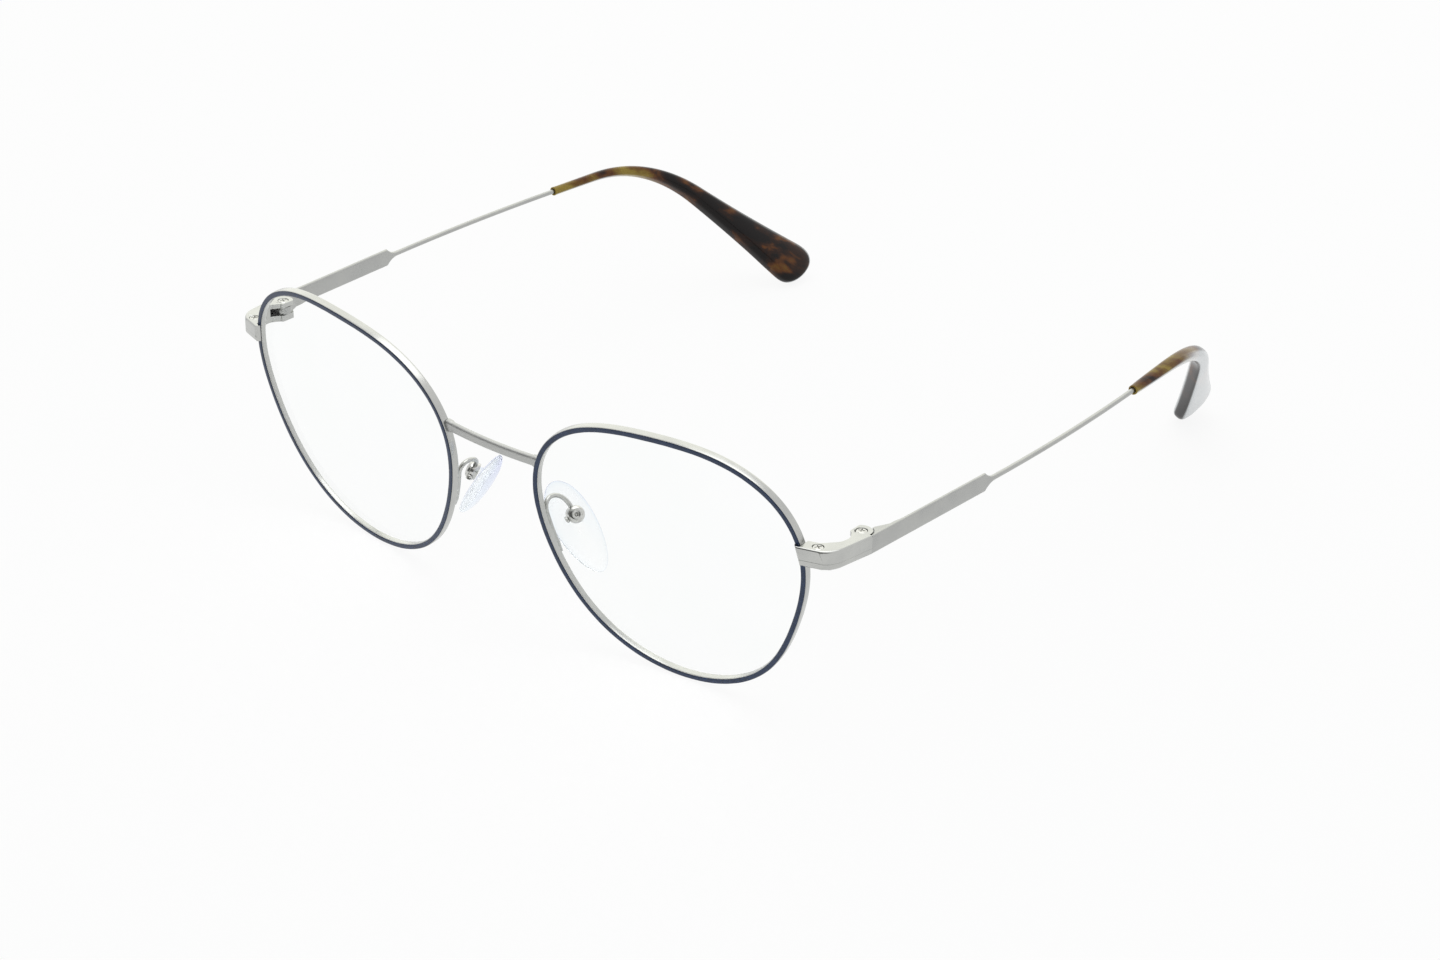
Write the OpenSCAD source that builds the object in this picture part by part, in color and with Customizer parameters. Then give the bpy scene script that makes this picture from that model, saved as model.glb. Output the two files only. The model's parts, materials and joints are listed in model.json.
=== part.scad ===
// Full rim metal eyeglasses with folding temples, standing open on a table.
// X runs across the face to the wearer's left, Y runs back along the temples and Z points up.
// The front is drawn upright about the middle of the bridge. At the end the whole part is tipped
// about X, so that the rims and the temple tips all touch the table at Z = 0.

/* [Lenses] */
// Width of a lens opening, at the middle of the rim wire
lens_w = 51; // [46:0.5:56]
// Height of a lens opening, at the middle of the rim wire
lens_h = 46.4; // [40:0.2:50]
// Gap between the two lens openings
lens_gap = 19.3; // [16:0.1:23]
// Radius of the curve of the lenses
lens_curve = 142; // [100:1:300]
// Angle that each lens turns back towards its temple
lens_wrap = 6; // [0:0.5:9]
// Thickness of a lens
lens_t = 1.2; // [1:0.1:2]
// Lean of the outline towards its upper outer corner
lens_lean = 0.0104; // [0:0.0004:0.02]
// Widening of the outline above its middle
lens_panto = 0.0496; // [0.02:0.0004:0.07]
// Slant of the outline across its width
lens_skew = -0.0081; // [-0.02:0.0003:0]
// Fullness of the outline at its corners
lens_square = -0.0165; // [-0.03:0.0005:0]
// Flatness of the outline along its top
lens_crown = 0.0034; // [0:0.0002:0.01]

/* [Rims] */
// Thickness of the rim wire, seen from the front
rim_t = 1.05; // [0.9:0.05:1.4]
// Depth of the rim wire, front to back
rim_depth = 1.4; // [1.35:0.05:2.2]
// Small bevel along the four edges of the rim wire
rim_edge = 0.12; // [0.05:0.01:0.2]
// Width of the lens groove at its mouth
groove_w = 0.8; // [0.6:0.05:1]
// Depth of the lens groove
groove_depth = 0.45; // [0.3:0.05:0.6]
// Distance from the rim's front face to the middle of the groove
groove_back = 0.75; // [0.7:0.01:0.78]
// Thickness of the enamel on the front of the rim
enamel_t = 0.12; // [0.05:0.01:0.2]
// Opening between the two ends of the rim wire
rim_split = 0.3; // [0.1:0.05:0.5]

/* [Bridge] */
// Height of the bridge above the middle of the lenses
bridge_up = 10.05; // [6:0.05:14]
// Height of the bridge bar
bridge_h = 1.9; // [1.4:0.1:2.6]
// Thickness of the bridge bar, front to back
bridge_t = 1.1; // [0.8:0.05:1.5]
// Forward bow of the bridge at its middle
bridge_bow = 0.5; // [0.2:0.05:2]
// Radius of the edges of the bridge bar
bridge_edge = 0.39; // [0.1:0.01:0.39]
// Distance from the rim's front face back to the middle of the bridge ends
bridge_back = 1.1; // [0.8:0.05:1.3]
// Height of the foot at each end of the bridge
bridge_foot_h = 2.1; // [2:0.05:3]
// Length of the foot at each end of the bridge
bridge_foot_l = 0.6; // [0.3:0.05:1]

/* [Endpieces] */
// Height of the endpieces above the middle of the lenses
lug_up = 9.3; // [4:0.1:13]
// Height of an endpiece, upper and lower half together
lug_h = 3.4; // [3.2:0.1:4.4]
// Height of the lower half of an endpiece
lug_lower_h = 1.12; // [1:0.02:1.4]
// Seam between the two halves
lug_seam = 0.05; // [0.02:0.01:0.1]
// Thickness of the front arm of an endpiece
lug_t = 2.7; // [2.65:0.05:3.4]
// Thickness of the side arm of an endpiece
lug_side_t = 1.75; // [1.4:0.05:2]
// Distance that an endpiece stands in front of the rim
lug_lip = 0.94; // [0.6:0.02:1.4]
// Slant of the front face of an endpiece
lug_slant = 18.7; // [12:0.1:24]
// Flare of the side face of an endpiece
lug_flare = 8; // [4:0.5:12]
// Radius of the outer corner of an endpiece
lug_corner = 4.5; // [3:0.1:4.8]
// Length of the side arm in front of the hinge leaves
lug_neck = 2.8; // [2:0.1:3.4]
// Turn from the front arm into the side arm, on the inner side
lug_turn = 32; // [25:1:40]
// Radius of the corners on the inner side of an endpiece
lug_fillet = 1; // [0.3:0.1:1.2]
// Radius of the hollow on the inner side, between the front arm and the hinge leaves
lug_hollow = 2.2; // [1:0.1:2.4]
// Length of the slot in the side arm, in front of the joint
slot_run = 2.8; // [1.6:0.1:3]
// Depth of the slot in the side arm, from its inner side
slot_in = 0.7; // [0.3:0.05:0.9]

/* [Hinges] */
// Distance from the rim out to the hinge axis
hinge_out = 4.2; // [3.8:0.1:5.5]
// Distance from the rim back to the hinge axis
hinge_back = 9.9; // [9:0.1:13]
// Distance from the hinge axis out to the side face
hinge_side = 2.35; // [2.3:0.05:2.8]
// Distance from the hinge axis forward to the joint between endpiece and temple
joint_front = 0.3; // [0.2:0.02:0.5]
// Gap at the joint
joint_gap = 0.12; // [0.08:0.01:0.2]
// Radius of the hinge leaves
leaf_r = 1.75; // [1.6:0.05:1.9]
// Distance from the hinge axis to the flat on the inner side of the leaves
leaf_in = 1.3; // [1.2:0.05:1.5]
// Thickness of the upper leaf
leaf_t = 0.85; // [0.75:0.05:1.1]
// Gap round the leaves
leaf_gap = 0.25; // [0.15:0.01:0.3]
// Radius of the temple's knuckle
knuckle_r = 1.45; // [1.2:0.05:1.55]
// Play of the knuckle above and below
knuckle_play = 0.06; // [0.04:0.01:0.1]

/* [Screws] */
// Diameter of the heads of the hinge and closing screws
head_d = 1.9; // [1.6:0.05:1.9]
// Height of the heads of the hinge and closing screws
head_h = 0.5; // [0.4:0.05:0.6]
// Diameter of the shanks of the hinge and closing screws
shank_d = 1.1; // [0.9:0.05:1.2]
// Gap between a screw and its seat
screw_fit = 0.03; // [0.02:0.005:0.05]
// Distance from the rim out to the closing screw
closing_out = 2.4; // [1.9:0.05:2.6]
// Distance from the front face of an endpiece back to the closing screw
closing_back = 1.5; // [1.2:0.02:1.54]
// Width of the cross slots in the screw heads
slot_w = 0.28; // [0.2:0.02:0.34]
// Depth of the cross slots in the screw heads
slot_depth = 0.25; // [0.1:0.05:0.3]

/* [Temples] */
// Slope of the temples against the upright front
temple_slope = 10.2; // [6:0.1:14]
// Outward splay of the temples
temple_splay = 2.4; // [0:0.1:4]
// Height of the flat bar
bar_h = 3.3; // [3:0.1:4.4]
// Thickness of the flat bar
bar_t = 0.7; // [0.5:0.05:0.9]
// Distance from the hinge axis to the thin end of the flat bar
bar_len = 31.8; // [24:0.2:40]
// Length of the taper from the flat bar to the wire
taper_len = 2.7; // [1.6:0.1:4]
// Diameter of the temple wire
wire_d = 0.9; // [0.75:0.05:1.2]
// Length of the bare temple wire
wire_len = 43.3; // [34:0.1:52]
// Radius of the inward bow of the temple wire
wire_bow = 450; // [300:10:900]
// Distance from the hinge axis to the inner face of the hinge block
block_in = 0.6; // [0.4:0.05:0.9]
// Distance from the hinge axis to the start of the hinge block's taper
block_start = 2.4; // [2.2:0.1:3.4]
// Distance from the hinge axis to the end of the hinge block's taper
block_end = 5; // [4:0.1:8]

/* [Tips] */
// Length of the straight front run of a tip
tip_run = 12; // [11.5:0.5:26]
// Radius of the bend over the ear
tip_bend_r = 35; // [20:1:45]
// Angle of the bend over the ear
tip_bend = 45; // [30:1:60]
// Length of the straight run behind the bend
tip_drop = 34; // [20:0.5:40]
// Inward lean of the bend
tip_lean = 27; // [0:1:35]
// Thickness of a tip where the wire goes in
tip_start_d = 1.7; // [1.6:0.05:2.2]
// Height of the tip's paddle
paddle_h = 10.5; // [5:0.1:11]
// Thickness of the tip's paddle
paddle_t = 3.9; // [2.4:0.1:4.4]
// Power by which the tip grows in height towards the paddle
paddle_swell = 2.4; // [1:0.1:3]
// Power by which the tip grows in thickness towards the paddle
paddle_thicken = 0.66; // [0.5:0.02:2]
// Length of the rounded end of the paddle
paddle_round = 6; // [4:0.1:8]
// Length of the wire inside the tip
core_len = 11; // [6:0.5:11.4]
// Gap between the wire and its bore in the tip
core_fit = 0.03; // [0.02:0.005:0.08]

/* [Nose pads] */
// Angle on the outline where the foot of the pad arm ends
foot_low = 201; // [194:1:206]
// Angle on the outline where the pad arm leaves the rim
foot_high = 183; // [178:1:188]
// Diameter of the pad arm's wire
arm_d = 0.8; // [0.6:0.05:1]
// Rise of the pad arm's loop
arm_rise = 3.6; // [2:0.1:4.5]
// Distance from the pad arm's foot out to the pad box
pad_out = 1.75; // [1:0.05:3]
// Distance from the pad arm's foot back to the pad box
pad_back = 4.7; // [4:0.1:6.5]
// Distance from the pad arm's foot down to the pad box
pad_down = 2.5; // [2:0.1:4.5]
// Inward lean of the top of a pad and its box
pad_lean = 34.5; // [20:0.5:40]
// Forward turn of a pad box
pad_splay = 26; // [16:1:36]
// Turn of a pad on its lug, back from the turn of its box
pad_turn = 14; // [0:1:16]
// Length of a pad
pad_len = 17.4; // [11:0.2:18]
// Width of a pad
pad_w = 8; // [5:0.1:8.5]
// Thickness of a pad
pad_t = 1.4; // [1:0.1:1.6]
// Distance from the cross screw to the middle of a pad's thickness
pad_stand = 2.45; // [2.4:0.05:3.2]
// Distance from the cross screw down to the middle of a pad's length
pad_low = 2.3; // [0:0.1:2.6]
// Distance from the cross screw forward to the middle of a pad's width
pad_fore = 0.5; // [0:0.05:1]
// Diameter of the pad box
box_d = 3; // [2.8:0.1:3.6]
// Depth of the pad box
box_h = 2; // [1.8:0.1:2.2]
// Wall of the pad box
box_wall = 0.35; // [0.25:0.05:0.45]
// Diameter of the pad's lug
lug_pin_d = 1.8; // [1.5:0.05:1.9]
// Diameter of the cross screw in the pad box
cross_d = 0.7; // [0.6:0.05:0.8]
// Diameter of the head of the cross screw
cross_head_d = 1.2; // [1:0.05:1.4]
// Height of the head of the cross screw
cross_head_h = 0.4; // [0.3:0.05:0.5]
// Width of the slots in the head of the cross screw
cross_slot_w = 0.2; // [0.15:0.01:0.24]
// Diameter of the dimple in the back of the pad box
dimple_d = 0.7; // [0.4:0.05:1]
// Depth of the dimple in the back of the pad box
dimple_depth = 0.12; // [0.05:0.01:0.2]

/* [Hidden] */

silver = [0.78, 0.79, 0.78];
navy = [0.18, 0.2, 0.31];
tortoise = [0.26, 0.15, 0.07];
clear = [0.82, 0.9, 0.94, 0.35];
pad_clear = [0.84, 0.86, 0.95, 0.6];
left = 1;
right = -1;

// Gap left for braze or glue between two pieces of the same body
braze = 0.03;
// Gap left between the enamel and the rim
enamel_gap = 0.01;
// Distance that a screw ends short of the underside of its endpiece
screw_short = 0.1;
// Reach of the cutting shapes past the pieces that they cut
reach = 40;
// Overrun of a cut past the face that it starts from
over = 1;
// Share of a screw head's diameter that its slots run across
slot_share = 0.72;
round_fn = 48;
rim_steps = 96;
lens_steps = 72;
corner_steps = 12;
tip_steps = 40;
tip_sides = 14;
arm_sides = 8;
foot_steps = 8;
loop_steps = 16;
pad_sides = 32;
solve_steps = 24;

// Lens outline about the middle of its own width and height

function outline_r(a) =
    1 + lens_lean * sin(2 * a) + lens_panto * sin(3 * a) + lens_skew * cos(3 * a)
    + lens_square * cos(4 * a) + lens_crown * sin(5 * a);
function outline(a) = outline_r(a) * [cos(a), sin(a)];
outline_points = [for (a = [0:0.5:359.5]) outline(a)];
outline_x = [for (p = outline_points) p.x];
outline_y = [for (p = outline_points) p.y];
outline_mid = [max(outline_x) + min(outline_x), max(outline_y) + min(outline_y)] / 2;
outline_size = [max(outline_x) - min(outline_x), max(outline_y) - min(outline_y)];
function eye(a) =
    let (p = outline(a) - outline_mid)
    [p.x * lens_w / outline_size.x, p.y * lens_h / outline_size.y];
function eye_normal(a) =
    let (d = eye(a + 0.5) - eye(a - 0.5))
    [d.y, -d.x] / norm(d);

// Depth of the lens curve at a point of the lens plane
function sag(p) = (p * p) / (2 * lens_curve);

lens_x = lens_gap / 2 + cos(lens_wrap) * lens_w / 2 + sin(lens_wrap) * sag([lens_w / 2, 0]);
function on_front(u, v, depth) = [
    lens_x + u * cos(lens_wrap) - depth * sin(lens_wrap),
    u * sin(lens_wrap) + depth * cos(lens_wrap),
    v
];
// Point on the rim at an angle of the outline, so far out from the wire's middle and back from its front
function rim_point(a, out, back) =
    let (p = eye(a), q = p + out * eye_normal(a))
    on_front(q.x, q.y, sag(p) + back);

// Angle on the temple side where the outline reaches a height, and on the nose side
function temple_angle(height, low = 0, high = 60, n = solve_steps) =
    let (mid = (low + high) / 2)
    n == 0 ? mid
    : eye(mid).y < height ? temple_angle(height, mid, high, n - 1)
    : temple_angle(height, low, mid, n - 1);
function nose_angle(height, low = 120, high = 180, n = solve_steps) =
    let (mid = (low + high) / 2)
    n == 0 ? mid
    : eye(mid).y > height ? nose_angle(height, mid, high, n - 1)
    : nose_angle(height, low, mid, n - 1);

closing_a = temple_angle(lug_up);
bridge_a = nose_angle(bridge_up);
closing_point = rim_point(closing_a, 0, 0);
closing_slope = rim_point(closing_a + 1, 0, 0) - rim_point(closing_a - 1, 0, 0);
split_a = asin(rim_split / norm(eye(closing_a)) / 2);

// Hinge frame: on the hinge axis, level with the top of the endpiece, with Y along the temple

hinge_point = closing_point + [
    hinge_out,
    hinge_back * cos(temple_slope) + lug_h / 2 * sin(temple_slope),
    lug_h / 2 * cos(temple_slope) - hinge_back * sin(temple_slope)
];
function from_hinge(p) = hinge_point + [
    p.x,
    p.y * cos(temple_slope) + p.z * sin(temple_slope),
    p.z * cos(temple_slope) - p.y * sin(temple_slope)
];
function splayed(p) = [
    p.x * cos(temple_splay) + p.y * sin(temple_splay),
    p.y * cos(temple_splay) - p.x * sin(temple_splay),
    p.z
];

module at_hinge() {
    translate(hinge_point)
        rotate([-temple_slope, 0, 0])
            children();
}

module at_temple() {
    at_hinge()
        rotate([0, 0, -temple_splay])
            children();
}

// Solid through rings of points, closed with a fan to one point at each end
module skin(rings, first, last) {
    n = len(rings[0]);
    m = len(rings);
    points = [for (ring = rings) each ring, first, last];
    sides = [
        for (i = [0:m - 2], j = [0:n - 1])
            let (k = (j + 1) % n, a = i * n + j, b = i * n + k, c = b + n, d = a + n)
            each [[a, b, c], [a, c, d]]
    ];
    start = [for (j = [0:n - 1]) [(j + 1) % n, j, m * n]];
    end = [for (j = [0:n - 1]) [(m - 1) * n + j, (m - 1) * n + (j + 1) % n, m * n + 1]];
    polyhedron(points, concat(sides, start, end));
}

// Outline through corner points given as x, y and corner radius
function arc_corner(before, corner, after) =
    let (
        p = [corner.x, corner.y],
        a = [before.x, before.y] - p,
        b = [after.x, after.y] - p,
        u = a / norm(a),
        v = b / norm(b),
        half = acos(u * v) / 2,
        centre = p + (u + v) / norm(u + v) * corner.z / sin(half),
        from = p + u * corner.z / tan(half) - centre,
        turn = (180 - 2 * half) * sign(u.x * v.y - u.y * v.x)
    )
    corner.z == 0 ? [p]
    : [for (i = [0:corner_steps]) let (t = -turn * i / corner_steps)
        centre + [from.x * cos(t) - from.y * sin(t), from.x * sin(t) + from.y * cos(t)]];
function rounded(corners) =
    let (n = len(corners))
    [for (i = [0:n - 1])
        each arc_corner(corners[(i + n - 1) % n], corners[i], corners[(i + 1) % n])];

// Front

rim_section = [
    [-rim_t / 2, groove_back - groove_w / 2],
    [groove_depth - rim_t / 2, groove_back],
    [-rim_t / 2, groove_back + groove_w / 2],
    [-rim_t / 2, rim_depth - rim_edge],
    [rim_edge - rim_t / 2, rim_depth],
    [rim_t / 2 - rim_edge, rim_depth],
    [rim_t / 2, rim_depth - rim_edge],
    [rim_t / 2, rim_edge],
    [rim_t / 2 - rim_edge, 0],
    [rim_edge - rim_t / 2, 0],
    [-rim_t / 2, rim_edge]
];
enamel_section = [
    [rim_edge - rim_t / 2, -enamel_gap],
    [rim_t / 2 - rim_edge, -enamel_gap],
    [rim_t / 2 - rim_edge, -enamel_t],
    [rim_edge - rim_t / 2, -enamel_t]
];
rim_first = closing_a + split_a;
rim_turn = 360 - 2 * split_a;

module along_rim(section, middle) {
    angles = [for (i = [0:rim_steps]) rim_first + rim_turn * i / rim_steps];
    rings = [for (a = angles) [for (p = section) rim_point(a, p.x, p.y)]];
    skin(
        rings,
        rim_point(rim_first, middle.x, middle.y),
        rim_point(rim_first + rim_turn, middle.x, middle.y)
    );
}

module rim() {
    color(silver)
        along_rim(rim_section, [rim_t / 4, rim_depth / 2]);
}

module enamel() {
    color(navy)
        along_rim(enamel_section, [0, -enamel_t / 2]);
}

lens_edge = rim_t / 2 + braze;
lens_apex = rim_t / 2 - groove_depth + 2 * braze;
lens_foot = groove_w / 2 - 2 * braze;
lens_mid = groove_back + sag([lens_w / 2, 0]) - sag([lens_w / 2 - lens_edge, 0]);
lens_rings = [0.35, 0.7, 1];

module lens() {
    function face(share, depth) = [
        for (i = [0:lens_steps - 1])
            let (a = i * 360 / lens_steps, p = share * (eye(a) - lens_edge * eye_normal(a)))
            on_front(p.x, p.y, sag(p) + depth)
    ];
    function bevel(inward, depth) = [
        for (i = [0:lens_steps - 1]) rim_point(i * 360 / lens_steps, -inward, depth)
    ];
    color(clear)
        skin(
            [
                for (share = lens_rings) face(share, lens_mid - lens_t / 2),
                bevel(lens_edge, groove_back - lens_foot),
                bevel(lens_apex, groove_back),
                bevel(lens_edge, groove_back + lens_foot),
                for (i = [len(lens_rings) - 1:-1:0]) face(lens_rings[i], lens_mid + lens_t / 2)
            ],
            on_front(0, 0, lens_mid - lens_t / 2),
            on_front(0, 0, lens_mid + lens_t / 2)
        );
}

bridge_end = rim_point(bridge_a, rim_t / 2 + braze, bridge_back);
bridge_slope = rim_point(bridge_a + 1, 0, 0) - rim_point(bridge_a - 1, 0, 0);
bridge_r = (pow(bridge_end.x, 2) + pow(bridge_bow, 2)) / (2 * bridge_bow);
bridge_turn = asin(bridge_end.x / bridge_r);

module round_bar(height, depth) {
    square([depth - 2 * bridge_edge, height], center = true);
    square([depth, height - 2 * bridge_edge], center = true);
    for (x = [-1, 1], y = [-1, 1])
        translate([x * (depth / 2 - bridge_edge), y * (height / 2 - bridge_edge)])
            circle(bridge_edge, $fn = round_fn);
}

// Bowed stretch of bridge bar between two angles either side of its middle
module bridge_arc(height, depth, from, to) {
    translate([0, bridge_end.y - bridge_bow + bridge_r, bridge_end.z])
        rotate([0, 0, from - 90])
            rotate_extrude(angle = to - from, $fn = round_fn)
                translate([bridge_r, 0])
                    round_bar(height, depth);
}

// Space between the inner sides of the two rims
module between_rims() {
    lean = atan2(bridge_slope.x, -bridge_slope.z);
    intersection_for(side = [left, right])
        mirror([side == left ? 0 : 1, 0, 0])
            translate(bridge_end)
                rotate([0, -lean, lens_wrap])
                    translate([-reach, -reach / 2, -reach / 2])
                        cube(reach);
}

module bridge() {
    foot_turn = asin((bridge_end.x - bridge_foot_l) / bridge_r);
    past = bridge_turn + over;
    color(silver)
        intersection() {
            union() {
                bridge_arc(bridge_h, bridge_t, -past, past);
                bridge_arc(bridge_foot_h, bridge_t + bridge_foot_h - bridge_h, foot_turn, past);
                bridge_arc(bridge_foot_h, bridge_t + bridge_foot_h - bridge_h, -past, -foot_turn);
            }
            between_rims();
        }
}

// Endpieces

rim_seat = [-hinge_out, -hinge_back];
front_dir = [cos(lug_slant), sin(lug_slant)];
front_normal = [-sin(lug_slant), cos(lug_slant)];
front_corner = rim_seat + [0, -lug_lip - lug_h / 2 * tan(temple_slope)];
side_dir = [sin(lug_flare), cos(lug_flare)];
joint_corner = [hinge_side, -joint_front];
neck_corner = joint_corner - [lug_side_t / cos(lug_flare), 0];
closing_spot =
    front_corner + closing_back * front_normal
    + (closing_out - closing_back * front_normal.x) / front_dir.x * front_dir;
upper_h = lug_h - lug_lower_h;

// Point where two lines cross, each given by a point and a direction
function crossing(p, u, q, v) =
    let (d = q - p)
    p + u * (d.x * v.y - d.y * v.x) / (u.x * v.y - u.y * v.x);

outer_corner = crossing(front_corner, front_dir, joint_corner, side_dir);
inner_start = closing_spot + (lug_t - closing_back) * front_normal;
inner_dir = [cos(lug_slant + lug_turn), sin(lug_slant + lug_turn)];
inner_corner = crossing(inner_start, inner_dir, neck_corner, side_dir);
neck_start = neck_corner - lug_neck * side_dir;
hollow_r = min(lug_hollow, 1.2 * norm(inner_corner - neck_start));
lug_outline = rounded([
    [each (front_corner - lug_t * front_dir), 0],
    [each outer_corner, lug_corner],
    [each joint_corner, 0],
    [-leaf_in, -joint_front, 0],
    [-leaf_in, -knuckle_r / 2, lug_fillet / 4],
    [each neck_start, hollow_r],
    [each inner_corner, hollow_r],
    [each inner_start, lug_fillet],
    [each (inner_start - 2 * lug_t * front_dir), 0]
]);

module lug_plan() {
    polygon(lug_outline);
    difference() {
        circle(leaf_r, $fn = round_fn);
        translate([-leaf_in - reach, -reach / 2])
            square(reach);
    }
}

// Everything behind the front face of the endpiece and outside the rim that it wraps
module lug_reach() {
    seat = rim_t / 2 + braze;
    cover = -enamel_t - braze;
    slant = lug_slant - lens_wrap;
    tip_back = atan2(closing_slope.y, closing_slope.z);
    tip_out = atan2(closing_slope.x, closing_slope.z);
    translate(closing_point)
        rotate([-tip_back, tip_out, lens_wrap])
            linear_extrude(reach, center = true)
                polygon([
                    [0, -lug_lip],
                    [reach * cos(slant), reach * sin(slant) - lug_lip],
                    [reach, reach],
                    [seat, reach],
                    [seat, cover],
                    [-rim_t / 2, cover]
                ]);
}

module endpiece_half(low, high) {
    intersection() {
        at_hinge()
            translate([0, 0, low])
                linear_extrude(high - low)
                    lug_plan();
        lug_reach();
    }
}

module screw_hole(spot, d, low, high) {
    at_hinge()
        translate([spot.x, spot.y, low])
            cylinder(d = d + 2 * screw_fit, h = high - low, $fn = round_fn);
}

// Room for the knuckle between the upper leaf and the lower half, and the slot that runs on into the arm
module knuckle_room() {
    room = knuckle_r + joint_gap;
    at_hinge()
        translate([0, 0, -upper_h - over])
            linear_extrude(upper_h + over - leaf_t) {
                circle(room, $fn = round_fn);
                translate([-reach / 2, -joint_front])
                    square(reach);
                translate([-reach, -knuckle_r / 2])
                    square(reach);
                translate(neck_corner)
                    rotate([0, 0, -lug_flare])
                        translate([slot_in - reach, -slot_run])
                            square([reach, slot_run]);
            }
}

module endpiece_upper() {
    color(silver)
        difference() {
            endpiece_half(-upper_h, 0);
            knuckle_room();
            for (spot = [[0, 0], closing_spot]) {
                screw_hole(spot, shank_d, -lug_h, over);
                screw_hole(spot, head_d, -head_h - screw_fit, over);
            }
        }
}

module endpiece_lower() {
    color(silver)
        difference() {
            endpiece_half(-lug_h, -upper_h - lug_seam);
            for (spot = [[0, 0], closing_spot])
                screw_hole(spot, shank_d, -lug_h - over, 0);
        }
}

// Screw with its head at the top and a cross cut into it
module cross_screw(head, head_height, shank, length, slot) {
    slot_len = slot_share * head;
    difference() {
        union() {
            translate([0, 0, -head_height])
                cylinder(d = head, h = head_height, $fn = round_fn);
            translate([0, 0, -length])
                cylinder(d = shank, h = length, $fn = round_fn);
        }
        for (turn = [45, 135])
            rotate([0, 0, turn])
                translate([-slot_len / 2, -slot / 2, -slot_depth])
                    cube([slot_len, slot, slot_depth + over]);
    }
}

module frame_screw(spot) {
    color(silver)
        at_hinge()
            translate([spot.x, spot.y, 0])
                cross_screw(head_d, head_h, shank_d, lug_h - screw_short, slot_w);
}

module closing_screw() {
    frame_screw(closing_spot);
}

module hinge_screw() {
    frame_screw([0, 0]);
}

// Temples

bar_in = hinge_side - bar_t;
bar_mid = -lug_h / 2;
block_relief = leaf_r + leaf_gap;

module hinge_block() {
    difference() {
        translate([0, 0, bar_mid - bar_h / 2])
            linear_extrude(bar_h)
                polygon([
                    [block_in, 0],
                    [bar_in, 0],
                    [bar_in, block_end],
                    [block_in, block_start]
                ]);
        translate([0, 0, -reach / 2])
            cylinder(r = block_relief, h = reach, $fn = round_fn);
    }
}

module knuckle() {
    translate([0, 0, knuckle_play - upper_h])
        linear_extrude(upper_h - leaf_t - 2 * knuckle_play)
            difference() {
                union() {
                    circle(knuckle_r, $fn = round_fn);
                    polygon([
                        [block_in - knuckle_r, 0],
                        [knuckle_r, 0],
                        [bar_in, block_relief],
                        [bar_in, block_start],
                        [block_in, block_start]
                    ]);
                }
                circle(d = shank_d + 2 * screw_fit, $fn = round_fn);
            }
}

module temple_hinge() {
    color(silver)
        at_temple() {
            hinge_block();
            knuckle();
        }
}

bar_start = joint_gap - joint_front;
taper_drop = (bar_h - wire_d) / 2;
taper_r = (pow(taper_len, 2) + pow(taper_drop, 2)) / (2 * taper_drop);
wire_x = hinge_side - bar_t / 2;
wire_end = taper_len + wire_len;
function bow_angle(length) = length / wire_bow * 180 / PI;
wire_turn = bow_angle(wire_end);

// Bar with round upper and lower edges, cut round the hinge leaves and down to the wire at its end
module flat_bar() {
    difference() {
        union() {
            translate([bar_in, bar_start, bar_t / 2 - bar_h / 2])
                cube([bar_t, bar_len - bar_start, bar_h - bar_t]);
            for (z = [-1, 1])
                translate([wire_x, 0, z * (bar_h - bar_t) / 2])
                    along_y(bar_start, bar_len, bar_t);
        }
        for (z = [-1, 1])
            translate([wire_x, bar_len, z * (wire_d / 2 + taper_r)])
                rotate([0, 90, 0])
                    cylinder(r = taper_r, h = 2 * bar_t, center = true, $fn = 2 * round_fn);
        translate([0, 0, -reach / 2])
            cylinder(r = block_relief, h = reach, $fn = round_fn);
    }
}

// Stretch of the bowed wire between two distances from the start of the taper
module temple_wire(from, to, d) {
    translate([wire_x - wire_bow, bar_len - taper_len, bar_mid])
        rotate([0, 0, bow_angle(from)])
            rotate_extrude(angle = bow_angle(to - from), $fn = round_fn)
                translate([wire_bow, 0])
                    circle(d = d, $fn = round_fn);
}

module temple_bar() {
    color(silver)
        at_temple() {
            translate([0, 0, bar_mid])
                flat_bar();
            temple_wire(0, wire_end + core_len, wire_d);
        }
}

// Tips, swept along a straight run, a bend over the ear and a straight drop

tip_foot = [
    wire_x - wire_bow * (1 - cos(wire_turn)),
    bar_len - taper_len + wire_bow * sin(wire_turn),
    bar_mid
];
tip_ahead = [-sin(wire_turn), cos(wire_turn), 0];
tip_down = [-sin(tip_lean) * cos(wire_turn), -sin(tip_lean) * sin(wire_turn), -cos(tip_lean)];
tip_side = cross(tip_ahead, tip_down);
tip_arc = tip_bend_r * tip_bend * PI / 180;
tip_len = tip_run + tip_arc + tip_drop;

function tip_angle(s) = min(max((s - tip_run) / tip_bend_r * 180 / PI, 0), tip_bend);
function tip_middle(s) =
    let (
        a = tip_angle(s),
        run = min(s, tip_run),
        drop = max(s - tip_run - tip_arc, 0)
    )
    tip_foot
    + (run + tip_bend_r * sin(a) + drop * cos(a)) * tip_ahead
    + (tip_bend_r * (1 - cos(a)) + drop * sin(a)) * tip_down;
function tip_across(s) = cos(tip_angle(s)) * tip_down - sin(tip_angle(s)) * tip_ahead;
function tip_end(s) =
    let (past = max(s - tip_len + paddle_round, 0) / paddle_round)
    sqrt(max(1 - past * past, 0));
function tip_high(s) =
    (tip_start_d + (paddle_h - tip_start_d) * pow(s / tip_len, paddle_swell)) * tip_end(s);
function tip_thick(s) =
    (tip_start_d + (paddle_t - tip_start_d) * pow(s / tip_len, paddle_thicken)) * tip_end(s);
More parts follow.
